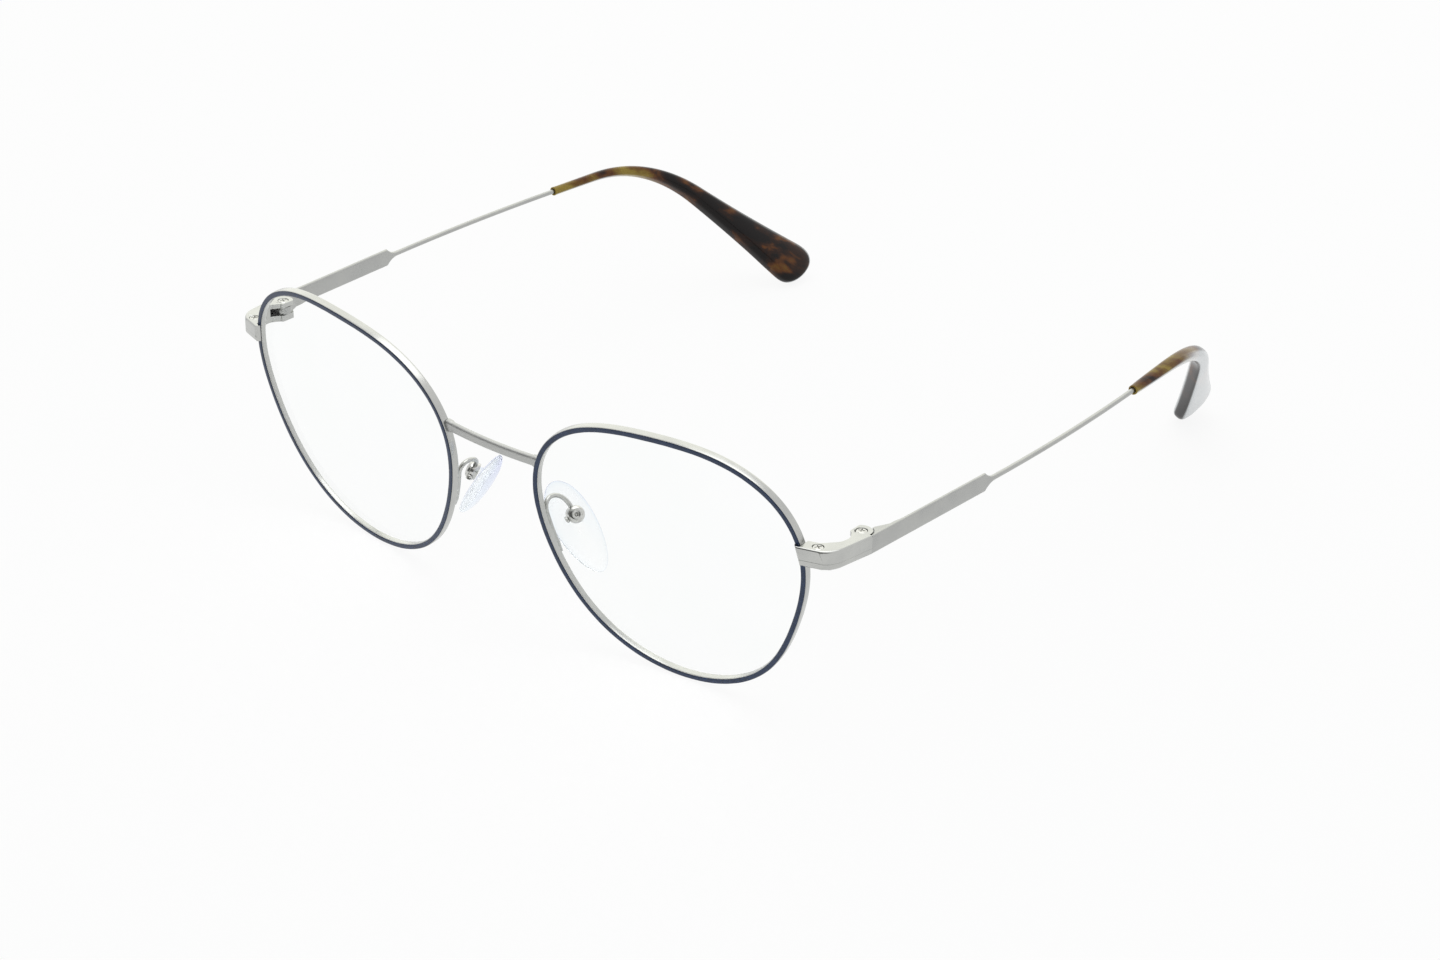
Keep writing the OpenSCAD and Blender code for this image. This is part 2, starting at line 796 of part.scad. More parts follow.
function tip_ring(s) = [
    for (i = [0:tip_sides - 1])
        let (a = i * 360 / tip_sides)
        tip_middle(s)
        + tip_high(s) / 2 * sin(a) * tip_across(s)
        + tip_thick(s) / 2 * cos(a) * tip_side
];
tip_body = tip_len - paddle_round;
tip_stations = [
    for (i = [0:tip_steps]) tip_body * i / tip_steps,
    for (a = [15:15:75]) tip_body + paddle_round * sin(a)
];
tip_rings = [for (s = tip_stations) tip_ring(s)];

module temple_tip() {
    color(tortoise)
        at_temple()
            difference() {
                skin(tip_rings, tip_middle(0), tip_middle(tip_len));
                temple_wire(wire_end - over, wire_end + core_len + core_fit, wire_d + 2 * core_fit);
            }
}

// Nose pads

arm_back = rim_depth + arm_d / 2 + braze;
arm_foot = rim_point(foot_high, 0, arm_back);
pad_point = arm_foot + [pad_out, pad_back, -pad_down];
cavity_d = box_d - 2 * box_wall;

function from_pad(p) =
    let (q = [
        p.x * cos(pad_splay) + p.y * sin(pad_splay),
        p.y * cos(pad_splay) - p.x * sin(pad_splay),
        p.z
    ])
    pad_point + [
        q.x * cos(pad_lean) - q.z * sin(pad_lean),
        q.y,
        q.z * cos(pad_lean) + q.x * sin(pad_lean)
    ];

// Pad frame: on the cross screw, with X away from the nose and Z up along the pad
module at_pad() {
    translate(pad_point)
        rotate([0, -pad_lean, 0])
            rotate([0, 0, -pad_splay])
                children();
}

module along_y(from, to, d) {
    translate([0, from, 0])
        rotate([-90, 0, 0])
            cylinder(d = d, h = to - from, $fn = round_fn);
}

module along_x(from, to, d) {
    translate([from, 0, 0])
        rotate([0, 90, 0])
            cylinder(d = d, h = to - from, $fn = round_fn);
}

arm_top = from_pad([0, 0, box_d / 2 + braze]);
arm_lift = from_pad([0, 0, box_d / 2 + arm_rise]) - from_pad([0, 0, box_d / 2]);
arm_leave = rim_point(foot_high - 1, 0, arm_back) - arm_foot;
arm_grip = [
    arm_foot,
    arm_foot + arm_rise * arm_leave / norm(arm_leave),
    arm_top + arm_lift,
    arm_top
];
function loop_point(t) =
    pow(1 - t, 3) * arm_grip[0] + 3 * t * pow(1 - t, 2) * arm_grip[1]
    + 3 * t * t * (1 - t) * arm_grip[2] + pow(t, 3) * arm_grip[3];
arm_path = [
    for (i = [0:foot_steps - 1])
        rim_point(foot_low + (foot_high - foot_low) * i / foot_steps, 0, arm_back),
    for (i = [0:loop_steps]) loop_point(i / loop_steps)
];

module pad_arm() {
    last = len(arm_path) - 1;
    rings = [
        for (i = [0:last])
            let (
                ahead = arm_path[min(i + 1, last)] - arm_path[max(i - 1, 0)],
                u = cross(ahead, [1, 0, 0]) / norm(cross(ahead, [1, 0, 0])),
                v = cross(ahead, u) / norm(ahead)
            )
            [for (j = [0:arm_sides - 1])
                let (a = j * 360 / arm_sides)
                arm_path[i] + arm_d / 2 * (cos(a) * u - sin(a) * v)]
    ];
    color(silver)
        skin(rings, arm_path[0], arm_path[last]);
}

module pad_box() {
    color(silver)
        at_pad()
            difference() {
                along_x(-box_h / 2, box_h / 2, box_d);
                along_x(-box_h, box_h / 2 - box_wall, cavity_d);
                along_x(box_h / 2 - dimple_depth, box_h, dimple_d);
                along_y(-box_d, box_d, cross_d + 2 * screw_fit);
            }
}

module pad_screw() {
    color(silver)
        at_pad()
            translate([0, -box_d / 2 - cross_head_h - screw_fit, 0])
                rotate([90, 0, 0])
                    cross_screw(cross_head_d, cross_head_h, cross_d, box_d + cross_head_h, cross_slot_w);
}

// Share of the pad's outline, and of its thickness, at each layer from its back to the nose
pad_layers = [[0.55, 0.5], [0.86, 0.36], [1, 0.05], [0.92, -0.3], [0.6, -0.5]];
// Narrowing of the pad towards its foot
pad_egg = 0.12;

module nose_pad() {
    function layer(share, depth) = [
        for (i = [0:pad_sides - 1])
            let (a = i * 360 / pad_sides)
            [
                depth * pad_t,
                share * pad_w / 2 * cos(a) * (1 + pad_egg * sin(a)) - pad_fore,
                share * pad_len / 2 * sin(a) - pad_low
            ]
    ];
    color(pad_clear)
        at_pad()
            difference() {
                union() {
                    translate([-pad_stand, 0, 0])
                        rotate([0, 0, pad_turn])
                            skin(
                                [for (p = pad_layers) layer(p.x, p.y)],
                                [pad_t / 2, -pad_fore, -pad_low],
                                [-pad_t / 2, -pad_fore, -pad_low]
                            );
                    along_x(-pad_stand, box_h / 2 - 2 * box_wall, lug_pin_d);
                }
                along_y(-box_d, box_d, cross_d + 2 * screw_fit);
            }
}

// Rest on the table: the tilt at which the rims and the tips are equally low

rim_lowest = [
    for (a = [180:2:360], back = [-enamel_t, 0, rim_depth])
        rim_point(a, back < 0 ? rim_t / 2 - rim_edge : rim_t / 2, back)
];
rim_highest = [for (a = [0:2:180]) rim_point(a, rim_t / 2 - rim_edge, -enamel_t)];
tip_lowest = [for (ring = tip_rings, p = ring) from_hinge(splayed(p))];
function lowest(points, tilt) = min([for (p = points) p.y * sin(tilt) + p.z * cos(tilt)]);
function along_table(points, tilt) = [for (p = points) p.y * cos(tilt) - p.z * sin(tilt)];
function level_tilt(low = -5, high = 30, n = solve_steps) =
    let (mid = (low + high) / 2)
    n == 0 ? mid
    : lowest(tip_lowest, mid) < lowest(rim_lowest, mid) ? level_tilt(mid, high, n - 1)
    : level_tilt(low, mid, n - 1);
rest_tilt = level_tilt();
rest_lift = -lowest(rim_lowest, rest_tilt);
rest_shift = -(min(along_table(rim_highest, rest_tilt)) + max(along_table(tip_lowest, rest_tilt))) / 2;

module at_rest(side) {
    translate([0, rest_shift, rest_lift])
        rotate([rest_tilt, 0, 0])
            mirror([side == left ? 0 : 1, 0, 0])
                children();
}

at_rest(left) bridge();
at_rest(left) rim();  // rim_left
at_rest(right) rim();  // rim_right
at_rest(left) enamel();  // enamel_left
at_rest(right) enamel();  // enamel_right
at_rest(left) lens();  // lens_left
at_rest(right) lens();  // lens_right
at_rest(left) endpiece_upper();  // endpiece_upper_left
at_rest(right) endpiece_upper();  // endpiece_upper_right
at_rest(left) endpiece_lower();  // endpiece_lower_left
at_rest(right) endpiece_lower();  // endpiece_lower_right
at_rest(left) closing_screw();  // closing_screw_left
at_rest(right) closing_screw();  // closing_screw_right
at_rest(left) hinge_screw();  // hinge_screw_left
at_rest(right) hinge_screw();  // hinge_screw_right
at_rest(left) temple_hinge();  // temple_hinge_left
at_rest(right) temple_hinge();  // temple_hinge_right
at_rest(left) temple_bar();  // temple_bar_left
at_rest(right) temple_bar();  // temple_bar_right
at_rest(left) temple_tip();  // temple_tip_left
at_rest(right) temple_tip();  // temple_tip_right
at_rest(left) pad_arm();  // pad_arm_left
at_rest(right) pad_arm();  // pad_arm_right
at_rest(left) pad_box();  // pad_box_left
at_rest(right) pad_box();  // pad_box_right
at_rest(left) pad_screw();  // pad_screw_left
at_rest(right) pad_screw();  // pad_screw_right
at_rest(left) nose_pad();  // nose_pad_left
at_rest(right) nose_pad();  // nose_pad_right
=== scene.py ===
# %% [markdown]
# # Full rim metal eyeglasses
# The imported solids are the fixed frame. Each visible piece is modelled again over its solid, a little
# rounder and with its own finish, and rides on the same body, so it folds with it.

import json
import math

import bmesh
import bpy
from mathutils import Matrix, Quaternion, Vector


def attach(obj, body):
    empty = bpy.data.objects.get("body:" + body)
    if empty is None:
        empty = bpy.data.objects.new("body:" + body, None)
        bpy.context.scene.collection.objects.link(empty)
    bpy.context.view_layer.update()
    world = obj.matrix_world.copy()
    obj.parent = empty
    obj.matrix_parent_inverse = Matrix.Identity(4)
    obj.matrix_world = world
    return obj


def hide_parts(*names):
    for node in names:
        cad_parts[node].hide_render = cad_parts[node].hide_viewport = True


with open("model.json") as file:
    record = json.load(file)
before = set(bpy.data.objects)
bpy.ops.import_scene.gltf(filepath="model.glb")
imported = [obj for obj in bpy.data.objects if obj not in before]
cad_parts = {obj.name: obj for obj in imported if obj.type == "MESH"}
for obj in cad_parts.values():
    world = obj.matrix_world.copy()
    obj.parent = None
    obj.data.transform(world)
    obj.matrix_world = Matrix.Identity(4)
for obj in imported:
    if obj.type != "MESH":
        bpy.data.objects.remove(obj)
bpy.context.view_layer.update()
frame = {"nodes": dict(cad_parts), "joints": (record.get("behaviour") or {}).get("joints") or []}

# %% [markdown]
# ## The camera
# The picture was taken from the wearer's left, above the front. A camera fitted to the outlines of the
# rims and the temples gives its place, the way it looks, a small roll and the lens. A long lens keeps
# the near and the far rim almost the same size.

# %% Camera
scene = bpy.context.scene
scene.view_settings.view_transform = "Standard"

camera_data = bpy.data.cameras.new("studio_camera")
camera_data.sensor_width = 36
camera_data.lens = 71.07
camera_data.clip_start = 0.01
camera = bpy.data.objects.new("studio_camera", camera_data)
looks_along = Vector((-0.547307, 0.694320, -0.467306))
roll = Quaternion((0, 0, 1), math.radians(1.59))
camera.location = (0.284620, -0.374872, 0.245733)
camera.rotation_euler = (looks_along.to_track_quat("-Z", "Y") @ roll).to_euler()
scene.collection.objects.link(camera)
scene.camera = camera
print("camera", round(camera.location.length, 3), "m from the middle of the table")

# %% [markdown]
# ## Light and floor
# A product picture like this is lit by large soft boxes over a white table. Polished metal shows what
# stands round it, so a big lamp overhead makes the upward faces bright, and the white table fills the
# sides. The world and the floor show plain white to the camera and to mirror and glass rays, while they
# light the object at an ordinary level. The floor keeps the soft shadow.

# %% Helpers for shader nodes
def add_node(tree, kind, **sockets):
    made = tree.nodes.new(kind)
    for name, value in sockets.items():
        made.inputs[name.replace("_", " ")].default_value = value
    return made


def join(tree, source, target):
    tree.links.new(source, target)


def seen_directly(tree):
    """1 for rays from the camera, a mirror or through glass, and 0 for the light that falls on things."""
    path = tree.nodes.new("ShaderNodeLightPath")
    first = tree.nodes.new("ShaderNodeMath")
    first.operation = "MAXIMUM"
    both = tree.nodes.new("ShaderNodeMath")
    both.operation = "MAXIMUM"
    join(tree, path.outputs["Is Camera Ray"], first.inputs[0])
    join(tree, path.outputs["Is Glossy Ray"], first.inputs[1])
    join(tree, first.outputs[0], both.inputs[0])
    join(tree, path.outputs["Is Transmission Ray"], both.inputs[1])
    return both.outputs[0]


# %% World
world = bpy.data.worlds.new("white_studio")
scene.world = world
world.use_nodes = True
sky = world.node_tree
sky.nodes.clear()
fill_light = add_node(sky, "ShaderNodeBackground", Color=(0.96, 0.98, 1, 1), Strength=0.55)
white_wall = add_node(sky, "ShaderNodeBackground", Color=(1, 1, 1, 1))
choose = sky.nodes.new("ShaderNodeMixShader")
sky_out = sky.nodes.new("ShaderNodeOutputWorld")
join(sky, seen_directly(sky), choose.inputs["Fac"])
join(sky, fill_light.outputs[0], choose.inputs[1])
join(sky, white_wall.outputs[0], choose.inputs[2])
join(sky, choose.outputs[0], sky_out.inputs["Surface"])

# %% [markdown]
# In front of the table, behind the camera, the room is darker. Rounded edges that face that way mirror
# it as soft dark lines, which is how the eye reads them as round and polished. The camera and the
# clear pieces still see plain white.

# %% Darker room in front, for mirror rays
way = sky.nodes.new("ShaderNodeTexCoord")
parts = sky.nodes.new("ShaderNodeSeparateXYZ")
join(sky, way.outputs["Generated"], parts.inputs["Vector"])
to_front = add_node(sky, "ShaderNodeMapRange", From_Min=-0.30, From_Max=-0.62, To_Min=0, To_Max=1)
below_top = add_node(sky, "ShaderNodeMapRange", From_Min=0.86, From_Max=0.62, To_Min=0, To_Max=1)
join(sky, parts.outputs["Y"], to_front.inputs["Value"])
join(sky, parts.outputs["Z"], below_top.inputs["Value"])
mirror_ray = sky.nodes.new("ShaderNodeLightPath")
shade = to_front.outputs["Result"]
for other in (below_top.outputs["Result"], mirror_ray.outputs["Is Glossy Ray"]):
    both = sky.nodes.new("ShaderNodeMath")
    both.operation = "MULTIPLY"
    join(sky, shade, both.inputs[0])
    join(sky, other, both.inputs[1])
    shade = both.outputs[0]
strength = add_node(sky, "ShaderNodeMapRange", From_Min=0, From_Max=1, To_Min=1, To_Max=0.12)
join(sky, shade, strength.inputs["Value"])
join(sky, strength.outputs["Result"], white_wall.inputs["Strength"])

# %% Floor
floor_bm = bmesh.new()
bmesh.ops.create_grid(floor_bm, x_segments=8, y_segments=8, size=2.0)
floor_mesh = bpy.data.meshes.new("table_top")
floor_bm.to_mesh(floor_mesh)
floor_bm.free()
floor = bpy.data.objects.new("table_top", floor_mesh)
scene.collection.objects.link(floor)

table_white = bpy.data.materials.new("table_white")
table_white.use_nodes = True
tree = table_white.node_tree
paper = tree.nodes["Principled BSDF"]
paper.inputs["Base Color"].default_value = (0.9, 0.9, 0.9, 1)
paper.inputs["Roughness"].default_value = 0.9
paper.inputs["Specular IOR Level"].default_value = 0.1
glow = add_node(tree, "ShaderNodeEmission", Color=(1, 1, 1, 1), Strength=1)
white_share = 0.9
share = tree.nodes.new("ShaderNodeMath")
share.operation = "MULTIPLY"
share.inputs[1].default_value = white_share
blend = tree.nodes.new("ShaderNodeMixShader")
join(tree, seen_directly(tree), share.inputs[0])
join(tree, share.outputs[0], blend.inputs["Fac"])
join(tree, paper.outputs[0], blend.inputs[1])
join(tree, glow.outputs[0], blend.inputs[2])
join(tree, blend.outputs[0], tree.nodes["Material Output"].inputs["Surface"])
floor_mesh.materials.append(table_white)

# %% Lamps
def soft_box(name, place, aim, size, watts):
    lamp = bpy.data.lights.new(name, "AREA")
    lamp.shape = "RECTANGLE"
    lamp.size, lamp.size_y = size
    lamp.energy = watts
    holder = bpy.data.objects.new(name, lamp)
    holder.location = place
    holder.rotation_euler = (Vector(aim) - Vector(place)).to_track_quat("-Z", "Y").to_euler()
    scene.collection.objects.link(holder)
    return holder


back_box = soft_box("back_box", (-0.42, 0.55, 0.42), (0, 0, 0.02), (1.4, 1.0), 2.3)
back_box.data.color = (1, 1, 0.84)
soft_box("overhead_box", (0.05, 0.0, 0.8), (0, 0, 0), (0.7, 0.7), 2.0)

# %% [markdown]
# ## Finishes
# The frame is satin plated metal, the screws are brighter steel, the rim fronts carry a dark blue
# enamel, the lenses and pads are clear, and the tips are tortoise acetate. Fine grain is on nearly all
# of them, so it is one node group with its own scale in each material.

# %% Grain group
grain = bpy.data.node_groups.new("fine_grain", "ShaderNodeTree")
grain.interface.new_socket("Vector", in_out="INPUT", socket_type="NodeSocketVector")
grain.interface.new_socket("Patch Scale", in_out="INPUT", socket_type="NodeSocketFloat")
grain.interface.new_socket("Grain Scale", in_out="INPUT", socket_type="NodeSocketFloat")
grain.interface.new_socket("Patch", in_out="OUTPUT", socket_type="NodeSocketFloat")
grain.interface.new_socket("Grain", in_out="OUTPUT", socket_type="NodeSocketFloat")
grain_in = grain.nodes.new("NodeGroupInput")
grain_out = grain.nodes.new("NodeGroupOutput")
for scale, result in (("Patch Scale", "Patch"), ("Grain Scale", "Grain")):
    noise = add_node(grain, "ShaderNodeTexNoise", Detail=3, Roughness=0.55)
    join(grain, grain_in.outputs["Vector"], noise.inputs["Vector"])
    join(grain, grain_in.outputs[scale], noise.inputs["Scale"])
    join(grain, noise.outputs["Fac"], grain_out.inputs[result])


def start_material(name, patch_scale, grain_scale):
    """A new material with its shader and the grain group on Object coordinates."""
    material = bpy.data.materials.new(name)
    material.use_nodes = True
    tree = material.node_tree
    place = tree.nodes.new("ShaderNodeTexCoord")
    group = tree.nodes.new("ShaderNodeGroup")
    group.node_tree = grain
    group.inputs["Patch Scale"].default_value = patch_scale
    group.inputs["Grain Scale"].default_value = grain_scale
    join(tree, place.outputs["Object"], group.inputs["Vector"])
    return material, tree, tree.nodes["Principled BSDF"], group, place


def two_tone(tree, factor, shader, dark, light):
    ramp = tree.nodes.new("ShaderNodeValToRGB")
    ramp.color_ramp.elements[0].position = 0.35
    ramp.color_ramp.elements[0].color = (*dark, 1)
    ramp.color_ramp.elements[1].position = 0.65
    ramp.color_ramp.elements[1].color = (*light, 1)
    join(tree, factor, ramp.inputs["Fac"])
    join(tree, ramp.outputs["Color"], shader.inputs["Base Color"])


def vary_roughness(tree, factor, shader, low, high):
    spread = add_node(tree, "ShaderNodeMapRange", From_Min=0.3, From_Max=0.7, To_Min=low, To_Max=high)
    join(tree, factor, spread.inputs["Value"])
    join(tree, spread.outputs["Result"], shader.inputs["Roughness"])


def raise_grain(tree, height, shader, strength, depth):
    bump = add_node(tree, "ShaderNodeBump", Strength=strength, Distance=depth)
    join(tree, height, bump.inputs["Height"])
    join(tree, bump.outputs["Normal"], shader.inputs["Normal"])


# %% Metals
grain_depth = 0.00001


def metal(name, dark, light, rough, patch_scale, grain_scale, strength):
    material, tree, shader, group, place = start_material(name, patch_scale, grain_scale)
    shader.inputs["Metallic"].default_value = 1
    two_tone(tree, group.outputs["Patch"], shader, dark, light)
    vary_roughness(tree, group.outputs["Patch"], shader, *rough)
    raise_grain(tree, group.outputs["Grain"], shader, strength, grain_depth)
    return material


silver_grain = (260, 16000)
satin_silver = metal(
    "satin_silver", (0.40, 0.405, 0.395), (0.435, 0.44, 0.425), (0.26, 0.33), *silver_grain, 0.2)
plated_silver = metal(
    "plated_silver", (0.465, 0.47, 0.455), (0.51, 0.515, 0.495), (0.19, 0.26), *silver_grain, 0.12)
brushed_silver = metal(
    "brushed_silver", (0.47, 0.475, 0.465), (0.51, 0.515, 0.50), (0.48, 0.56), *silver_grain, 0.2)
bright_steel = metal(
    "bright_steel", (0.52, 0.52, 0.50), (0.60, 0.60, 0.58), (0.10, 0.20), 900, 9000, 0.08)

# %% Navy enamel
navy_enamel, tree, shader, group, place = start_material("navy_enamel", 500, 5000)
two_tone(tree, group.outputs["Patch"], shader, (0.005, 0.021, 0.063), (0.009, 0.029, 0.084))
vary_roughness(tree, group.outputs["Patch"], shader, 0.22, 0.34)
raise_grain(tree, group.outputs["Grain"], shader, 0.1, grain_depth)
shader.inputs["Specular IOR Level"].default_value = 0.45

# %% Clear lens
clear_lens, tree, shader, group, place = start_material("clear_lens", 60, 900)
two_tone(tree, group.outputs["Patch"], shader, (0.985, 0.995, 0.99), (0.995, 1, 1))
vary_roughness(tree, group.outputs["Patch"], shader, 0.0, 0.01)
shader.inputs["Transmission Weight"].default_value = 1
shader.inputs["IOR"].default_value = 1.06

# %% [markdown]
# The pads are soft clear silicone. Face on they hardly show, and along their edge the light goes a long
# way through them and comes out lavender, so the tint follows the angle of view. It is strongest at the
# top, where the pad is thickest.

# %% Clear silicone
clear_pad, tree, shader, group, place = start_material("clear_pad", 500, 3000)
edge_on = add_node(tree, "ShaderNodeLayerWeight", Blend=0.5)
split = tree.nodes.new("ShaderNodeSeparateXYZ")
join(tree, place.outputs["Object"], split.inputs["Vector"])
height = add_node(tree, "ShaderNodeMapRange", From_Min=0.013, From_Max=0.025, To_Min=0.45, To_Max=1)
join(tree, split.outputs["Z"], height.inputs["Value"])
amount = tree.nodes.new("ShaderNodeMath")
amount.operation = "MULTIPLY"
join(tree, edge_on.outputs["Facing"], amount.inputs[0])
join(tree, height.outputs["Result"], amount.inputs[1])
ramp = tree.nodes.new("ShaderNodeValToRGB")
ramp.color_ramp.elements[0].position = 0.05
ramp.color_ramp.elements[0].color = (0.998, 1, 1, 1)
ramp.color_ramp.elements[1].position = 0.85
ramp.color_ramp.elements[1].color = (0.66, 0.67, 0.90, 1)
ramp.color_ramp.elements.new(0.35).color = (0.88, 0.94, 0.99, 1)
join(tree, amount.outputs[0], ramp.inputs["Fac"])
join(tree, ramp.outputs["Color"], shader.inputs["Base Color"])
vary_roughness(tree, group.outputs["Patch"], shader, 0.12, 0.30)
raise_grain(tree, group.outputs["Grain"], shader, 0.12, 2 * grain_depth)
shader.inputs["Transmission Weight"].default_value = 0.94
shader.inputs["IOR"].default_value = 1.07

# %% [markdown]
# Tortoise acetate is cut from a block of mixed colours: amber and olive cloud through brown, and the
# dark parts are nearly black. Here noise that is stretched along the bent end makes the clouds, its finer
# detail breaks their edges, and the amber is strongest at the thin front of the tip, as on the real one.

# %% Tortoise acetate
tortoise, tree, shader, group, place = start_material("tortoise", 700, 2500)
turn = tree.nodes.new("ShaderNodeMapping")
turn.vector_type = "TEXTURE"
turn.inputs["Rotation"].default_value = (math.radians(-36), 0, 0)
turn.inputs["Scale"].default_value = (1, 2.6, 1)
clouds = add_node(tree, "ShaderNodeTexNoise", Scale=230, Detail=3, Roughness=0.55, Distortion=0.3)
split = tree.nodes.new("ShaderNodeSeparateXYZ")
front_share = add_node(
    tree, "ShaderNodeMapRange", From_Min=0.036, From_Max=0.046, To_Min=0.22, To_Max=-0.005)
mixed = tree.nodes.new("ShaderNodeMath")
mixed.operation = "ADD"
ramp = tree.nodes.new("ShaderNodeValToRGB")
tones = ramp.color_ramp
tones.elements[0].position = 0.47
tones.elements[0].color = (0.007, 0.005, 0.005, 1)
tones.elements[1].position = 0.80
tones.elements[1].color = (0.29, 0.205, 0.038, 1)
browns = ((0.55, (0.028, 0.011, 0.006)), (0.61, (0.11, 0.038, 0.009)), (0.69, (0.16, 0.085, 0.015)))
for position, tone in browns:
    tones.elements.new(position).color = (*tone, 1)
join(tree, place.outputs["Object"], turn.inputs["Vector"])
join(tree, turn.outputs["Vector"], clouds.inputs["Vector"])
join(tree, place.outputs["Object"], split.inputs["Vector"])
join(tree, split.outputs["Y"], front_share.inputs["Value"])
join(tree, clouds.outputs["Fac"], mixed.inputs[0])
join(tree, front_share.outputs["Result"], mixed.inputs[1])
join(tree, mixed.outputs[0], ramp.inputs["Fac"])
vary_roughness(tree, group.outputs["Patch"], shader, 0.10, 0.18)
shader.inputs["IOR"].default_value = 1.27

# %% [markdown]
# Polished flat sides that are seen at a low angle mirror the white studio. That reflection is painted here:
# Layer Weight gives the angle, where the base colour is paled to near white and the Metallic raised. The
# normal tells the flat sides from the round edges, so the painted reflection stays on the flats.

# %% Painted reflection on the flat sides of the tips at a low angle
facing = add_node(tree, "ShaderNodeLayerWeight", Blend=0.5)
low_angle = add_node(tree, "ShaderNodeMapRange", From_Min=0.55, From_Max=0.72, To_Min=0, To_Max=0.58)
normal_parts = tree.nodes.new("ShaderNodeSeparateXYZ")
sideways, both = tree.nodes.new("ShaderNodeMath"), tree.nodes.new("ShaderNodeMath")
sideways.operation, both.operation = "ABSOLUTE", "MULTIPLY"
flat_side = add_node(tree, "ShaderNodeMapRange", From_Min=0.45, From_Max=0.75, To_Min=0, To_Max=1)
# painted reflection: a near-white base colour and raised Metallic, mixed in where a flat side is seen at a
# low angle
painted_reflection_colour = tree.nodes.new("ShaderNodeMix")
painted_reflection_colour.data_type = "RGBA"
painted_reflection_colour.inputs["B"].default_value = (0.93, 0.98, 1, 1)
join(tree, facing.outputs["Facing"], low_angle.inputs["Value"])
join(tree, place.outputs["Normal"], normal_parts.inputs["Vector"])
join(tree, normal_parts.outputs["X"], sideways.inputs[0])
join(tree, sideways.outputs[0], flat_side.inputs["Value"])
join(tree, low_angle.outputs["Result"], both.inputs[0])
join(tree, flat_side.outputs["Result"], both.inputs[1])
join(tree, both.outputs[0], painted_reflection_colour.inputs["Factor"])
join(tree, both.outputs[0], shader.inputs["Metallic"])
join(tree, ramp.outputs["Color"], painted_reflection_colour.inputs["A"])
join(tree, painted_reflection_colour.outputs["Result"], shader.inputs["Base Color"])
print("finishes:", len(bpy.data.materials))

# %% [markdown]
# ## Where things are
# The front is drawn upright about the middle of the bridge, in millimetres, and then tipped back so that
# the rims and the tips stand on the table. One matrix does that for every piece, and the right side is
# the left one mirrored.

# %% Frames of the front
rest_tilt, rest_place = math.radians(9.65195), (0, -73.1122, 23.0717)
to_table = Matrix.Scale(0.001, 4) @ Matrix.Translation(rest_place) @ Matrix.Rotation(rest_tilt, 4, "X")
mirrored = Matrix.Diagonal((-1, 1, 1, 1))
bodies_of = {"left": "left_temple", "right": "right_temple"}


def solve(height_at, goal, low, high):
    """The angle between low and high where a rising height reaches the goal."""
    for _ in range(40):
        middle = (low + high) / 2
        low, high = (middle, high) if height_at(middle) < goal else (low, middle)
    return low


# %% Outline of a lens
lens_w, lens_h, lens_gap = 51.0, 46.4, 19.3
lens_curve, lens_t = 142.0, 1.2
lens_lean, lens_panto, lens_skew, lens_square, lens_crown = 0.0104, 0.0496, -0.0081, -0.0165, 0.0034
wrap = math.radians(6)
rim_t, rim_depth = 1.05, 1.4


def outline(a):
    """A circle of radius 1, pulled to the shape of the eye by a few waves round it."""
    r = 1 + lens_lean * math.sin(2 * a) + lens_panto * math.sin(3 * a) + lens_skew * math.cos(3 * a)
    r += lens_square * math.cos(4 * a) + lens_crown * math.sin(5 * a)
    return Vector((r * math.cos(a), r * math.sin(a)))


around = [outline(math.radians(d / 2)) for d in range(720)]
lowest = Vector((min(p.x for p in around), min(p.y for p in around)))
highest = Vector((max(p.x for p in around), max(p.y for p in around)))
outline_mid, outline_size = (lowest + highest) / 2, highest - lowest


def eye(a):
    p = outline(a) - outline_mid
    return Vector((p.x * lens_w / outline_size.x, p.y * lens_h / outline_size.y))


def eye_normal(a):
    d = eye(a + 0.005) - eye(a - 0.005)
    return Vector((d.y, -d.x)).normalized()


def sag(p):
    return p.length_squared / (2 * lens_curve)


lens_x = lens_gap / 2 + math.cos(wrap) * lens_w / 2 + math.sin(wrap) * sag(Vector((lens_w / 2, 0)))
lens_axis = Vector((-math.sin(wrap), math.cos(wrap), 0))


def on_front(p, depth):
    return Vector((lens_x + p.x * math.cos(wrap), p.x * math.sin(wrap), p.y)) + depth * lens_axis


def rim_point(a, out, back):
    return on_front(eye(a) + out * eye_normal(a), sag(eye(a)) + back)


print("lens outline", round(lens_w, 1), "x", round(lens_h, 1), "mm, middle at x =", round(lens_x, 2))

# %% [markdown]
# ## One way to make most pieces
# A rim, a temple, a tip and a pad all are a closed section that travels along a path and changes on the
# way. The section's edges are extruded, and the new ring is set in its place, ring after ring. A
# Subdivision Surface then rounds the result. This keeps long clean rows of faces that shade smoothly.

# %% Extrude a section along a path
def loft(rings, endless=False):
    """A closed mesh through rings of points: with a flat face at both ends, or joined end to end."""
    bm = bmesh.new()
    n = len(rings[0])
    loop = [bm.verts.new(p) for p in rings[0]]
    edges = [bm.edges.new((loop[i], loop[(i + 1) % n])) for i in range(n)]
    first = list(edges)
    if not endless:
        bmesh.ops.contextual_create(bm, geom=edges)
    for ring in rings[1:]:
        before = set(loop)
        made = bmesh.ops.extrude_edge_only(bm, edges=edges)["geom"]
        twin = {}
        for v in made:
            if isinstance(v, bmesh.types.BMVert):
                for e in v.link_edges:
                    if e.other_vert(v) in before:
                        twin[e.other_vert(v)] = v
        loop = [twin[v] for v in loop]
        for v, p in zip(loop, ring):
            v.co = p
        edges = [bm.edges.get((loop[i], loop[(i + 1) % n])) for i in range(n)]
    if endless:
        bmesh.ops.bridge_loops(bm, edges=first + edges)
    else:
        bmesh.ops.contextual_create(bm, geom=edges)
    bmesh.ops.recalc_face_normals(bm, faces=bm.faces)
    return bm


